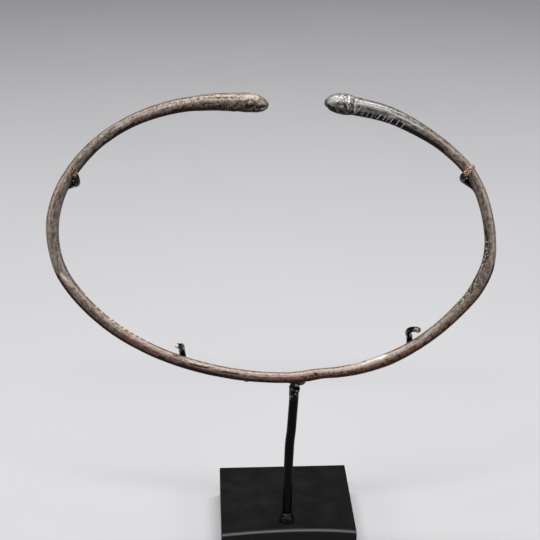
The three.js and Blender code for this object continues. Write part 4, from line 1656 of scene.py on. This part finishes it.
@dataclass
class Block:
    """The display block: eased edges, a slightly hollow front and a socket for the stem."""

    cuts: int = 28
    edge: float = 0.5
    hollow: float = 2.2
    hollow_aside: float = 0.12
    socket_depth: float = 7.0
    socket_sides: int = 48
    crease_angle: float = math.radians(35)

    def build(self) -> bpy.types.Object:
        """Models the block from a cut-up cube, hollows its front, eases its edges and sinks its socket.

        Returns:
            The piece, with its mask.
        """
        deselect()
        bpy.ops.mesh.primitive_cube_add(size=MM, location=(0, 0, BLOCK_HEIGHT / 2 * MM))
        block = bpy.context.object
        block.name = block.data.name = "base_block_painted"
        block.scale = (BLOCK_SIDE, BLOCK_SIDE, BLOCK_HEIGHT)
        settle(block)
        with editing(block):
            bpy.ops.mesh.subdivide(number_cuts=self.cuts)
        places = corners_of(block) / MM
        places[:, 1] += self.front_hollow(places[:, 0]) * (0.5 - places[:, 1] / BLOCK_SIDE)
        set_corners(block, places * MM)
        finish_modifier(block, "BEVEL", width=self.edge * MM, segments=4, limit_method="ANGLE")
        self.sink_socket(block)
        close_mesh(block, smooth=False)
        pick(block)
        bpy.ops.object.shade_smooth_by_angle(angle=self.crease_angle)
        places = corners_of(block) / MM
        # The thin lighter line along the front top edge, partly paint wear and partly a painted highlight.
        front = -BLOCK_SIDE / 2 + self.front_hollow(places[:, 0])
        edge = np.hypot(places[:, 1] - front, places[:, 2] - BLOCK_HEIGHT)
        keep_mask(block, "edge_wear_and_highlight", 0.8 * (1 - rise(edge, 0.25, 0.6)))
        return block

    def front_hollow(self, across: np.ndarray) -> np.ndarray:
        """How far the front face stands back at each place across it.

        Args:
            across: mm right of its middle.

        Returns:
            The depths, in mm.
        """
        right = BLOCK_SIDE / 2
        peak = self.hollow_aside * BLOCK_SIDE
        t = np.linspace(0, 1, 200)
        x = -right * (1 - t) ** 2 + 2 * peak * t * (1 - t) + right * t ** 2
        y = 4 * self.hollow * t * (1 - t)
        return np.interp(across, x, y)

    def sink_socket(self, block: bpy.types.Object) -> None:
        """Cuts the round socket that the stem stands in.

        Args:
            block: the piece.
        """
        deselect()
        spot = (STEM_FOOT[0] * MM, STEM_FOOT[1] * MM, BLOCK_HEIGHT * MM)
        bpy.ops.mesh.primitive_cylinder_add(
            vertices=self.socket_sides, radius=(STEM_RADIUS + FIT_GAP) * MM,
            depth=2 * self.socket_depth * MM, location=spot)
        drill = bpy.context.object
        settle(drill)
        finish_modifier(block, "BOOLEAN", operation="DIFFERENCE", object=drill, solver="EXACT")
        bpy.data.objects.remove(drill)

    def dress(self, piece: bpy.types.Object) -> None:
        """Gives the block its paint and its place."""
        enter(piece, "base_block", BlockPaint().mix())


# The studio

@dataclass(frozen=True)
class SoftLamp:
    """One soft area lamp, aimed at the torc: its width, its height and its power."""

    name: str
    place: tuple[float, float, float]
    size: tuple[float, float]
    power: float

    def hang(self) -> None:
        """Adds the lamp."""
        lamp = bpy.data.lights.new(self.name, "AREA")
        lamp.shape = "RECTANGLE"
        lamp.size, lamp.size_y = self.size
        lamp.energy = self.power
        holder = bpy.data.objects.new(self.name, lamp)
        bpy.context.scene.collection.objects.link(holder)
        place = np.array(self.place)
        away = place - np.array([0.0, 0.0, 0.1])
        reach = np.linalg.norm(away)
        pan = math.atan2(away[0], -away[1])
        holder.location = self.place
        holder.rotation_euler = (math.acos(away[2] / reach), 0.0, pan)


@dataclass
class Studio:
    """The pale floor, the soft lamps, the even sky and the camera at the photograph's angle."""

    floor_size: float = 8.0
    sky: float = 0.10
    sky_tone: tuple = tone(226, 228, 232)
    lens: float = 100.0
    film_width: float = 36.0
    camera_place: tuple[float, float, float] = (-0.02914, -0.5071, 0.31745)
    camera_turn: tuple[float, float, float] = (67.7, 0.0, -2.6)
    lamps: tuple[SoftLamp, ...] = field(default_factory=lambda: (
        SoftLamp("lamp_above", (0.0, 0.22, 1.15), (1.2, 0.14), 14.5),
        SoftLamp("lamp_front", (-0.05, -0.65, 1.06), (0.9, 0.12), 8.0),
        SoftLamp("lamp_left", (-0.85, -0.2, 0.6), (0.3, 0.4), 2.5),
        SoftLamp("lamp_right", (0.85, -0.2, 0.6), (0.3, 0.4), 2.5),
    ))

    def build(self) -> None:
        """Lays the floor, hangs the lamps and stands the camera."""
        deselect()
        bpy.ops.mesh.primitive_plane_add(size=self.floor_size, location=(0, 0, 0))
        floor = bpy.context.object
        floor.name = floor.data.name = "studio_floor"
        floor.data.materials.append(PaleFloor().mix())
        for lamp in self.lamps:
            lamp.hang()
        world = bpy.data.worlds.new("studio_sky")
        world.use_nodes = True
        bpy.context.scene.world = world
        sky = next(n for n in world.node_tree.nodes if n.type == "BACKGROUND")
        sky.inputs["Color"].default_value = self.sky_tone
        sky.inputs["Strength"].default_value = self.sky
        lens = bpy.data.cameras.new("camera")
        lens.lens = self.lens
        lens.sensor_width = self.film_width
        lens.clip_start = 0.01
        lens.clip_end = 50
        camera = bpy.data.objects.new("camera", lens)
        bpy.context.scene.collection.objects.link(camera)
        camera.location = self.camera_place
        camera.rotation_euler = [math.radians(a) for a in self.camera_turn]
        bpy.context.scene.camera = camera
        bpy.context.scene.view_settings.view_transform = "Standard"


def main() -> None:
    """Builds and dresses each sub-assembly in order, then the studio."""
    logging.basicConfig(level=logging.INFO, format="%(name)s %(message)s")
    Studio().build()
    ring = RingLine()
    torc = Torc(ring)
    torc.dress(torc.build())
    paint = GlossPaint().mix()
    wires = WireWork(ring)
    wires.dress(wires.build_cradle(), "cradle_wire", paint)
    wires.dress(wires.build_lower("claw_lower_left_painted", LOWER_LEFT), "claw_lower_left", paint)
    wires.dress(wires.build_lower("claw_lower_right_painted", LOWER_RIGHT), "claw_lower_right", paint)
    stem = Stem(ring)
    stem.dress(stem.build(), "stem", paint)
    stem.dress(stem.build_bead(), "stem_collar", paint)
    block = Block()
    block.dress(block.build())


if __name__ == "__main__":
    main()
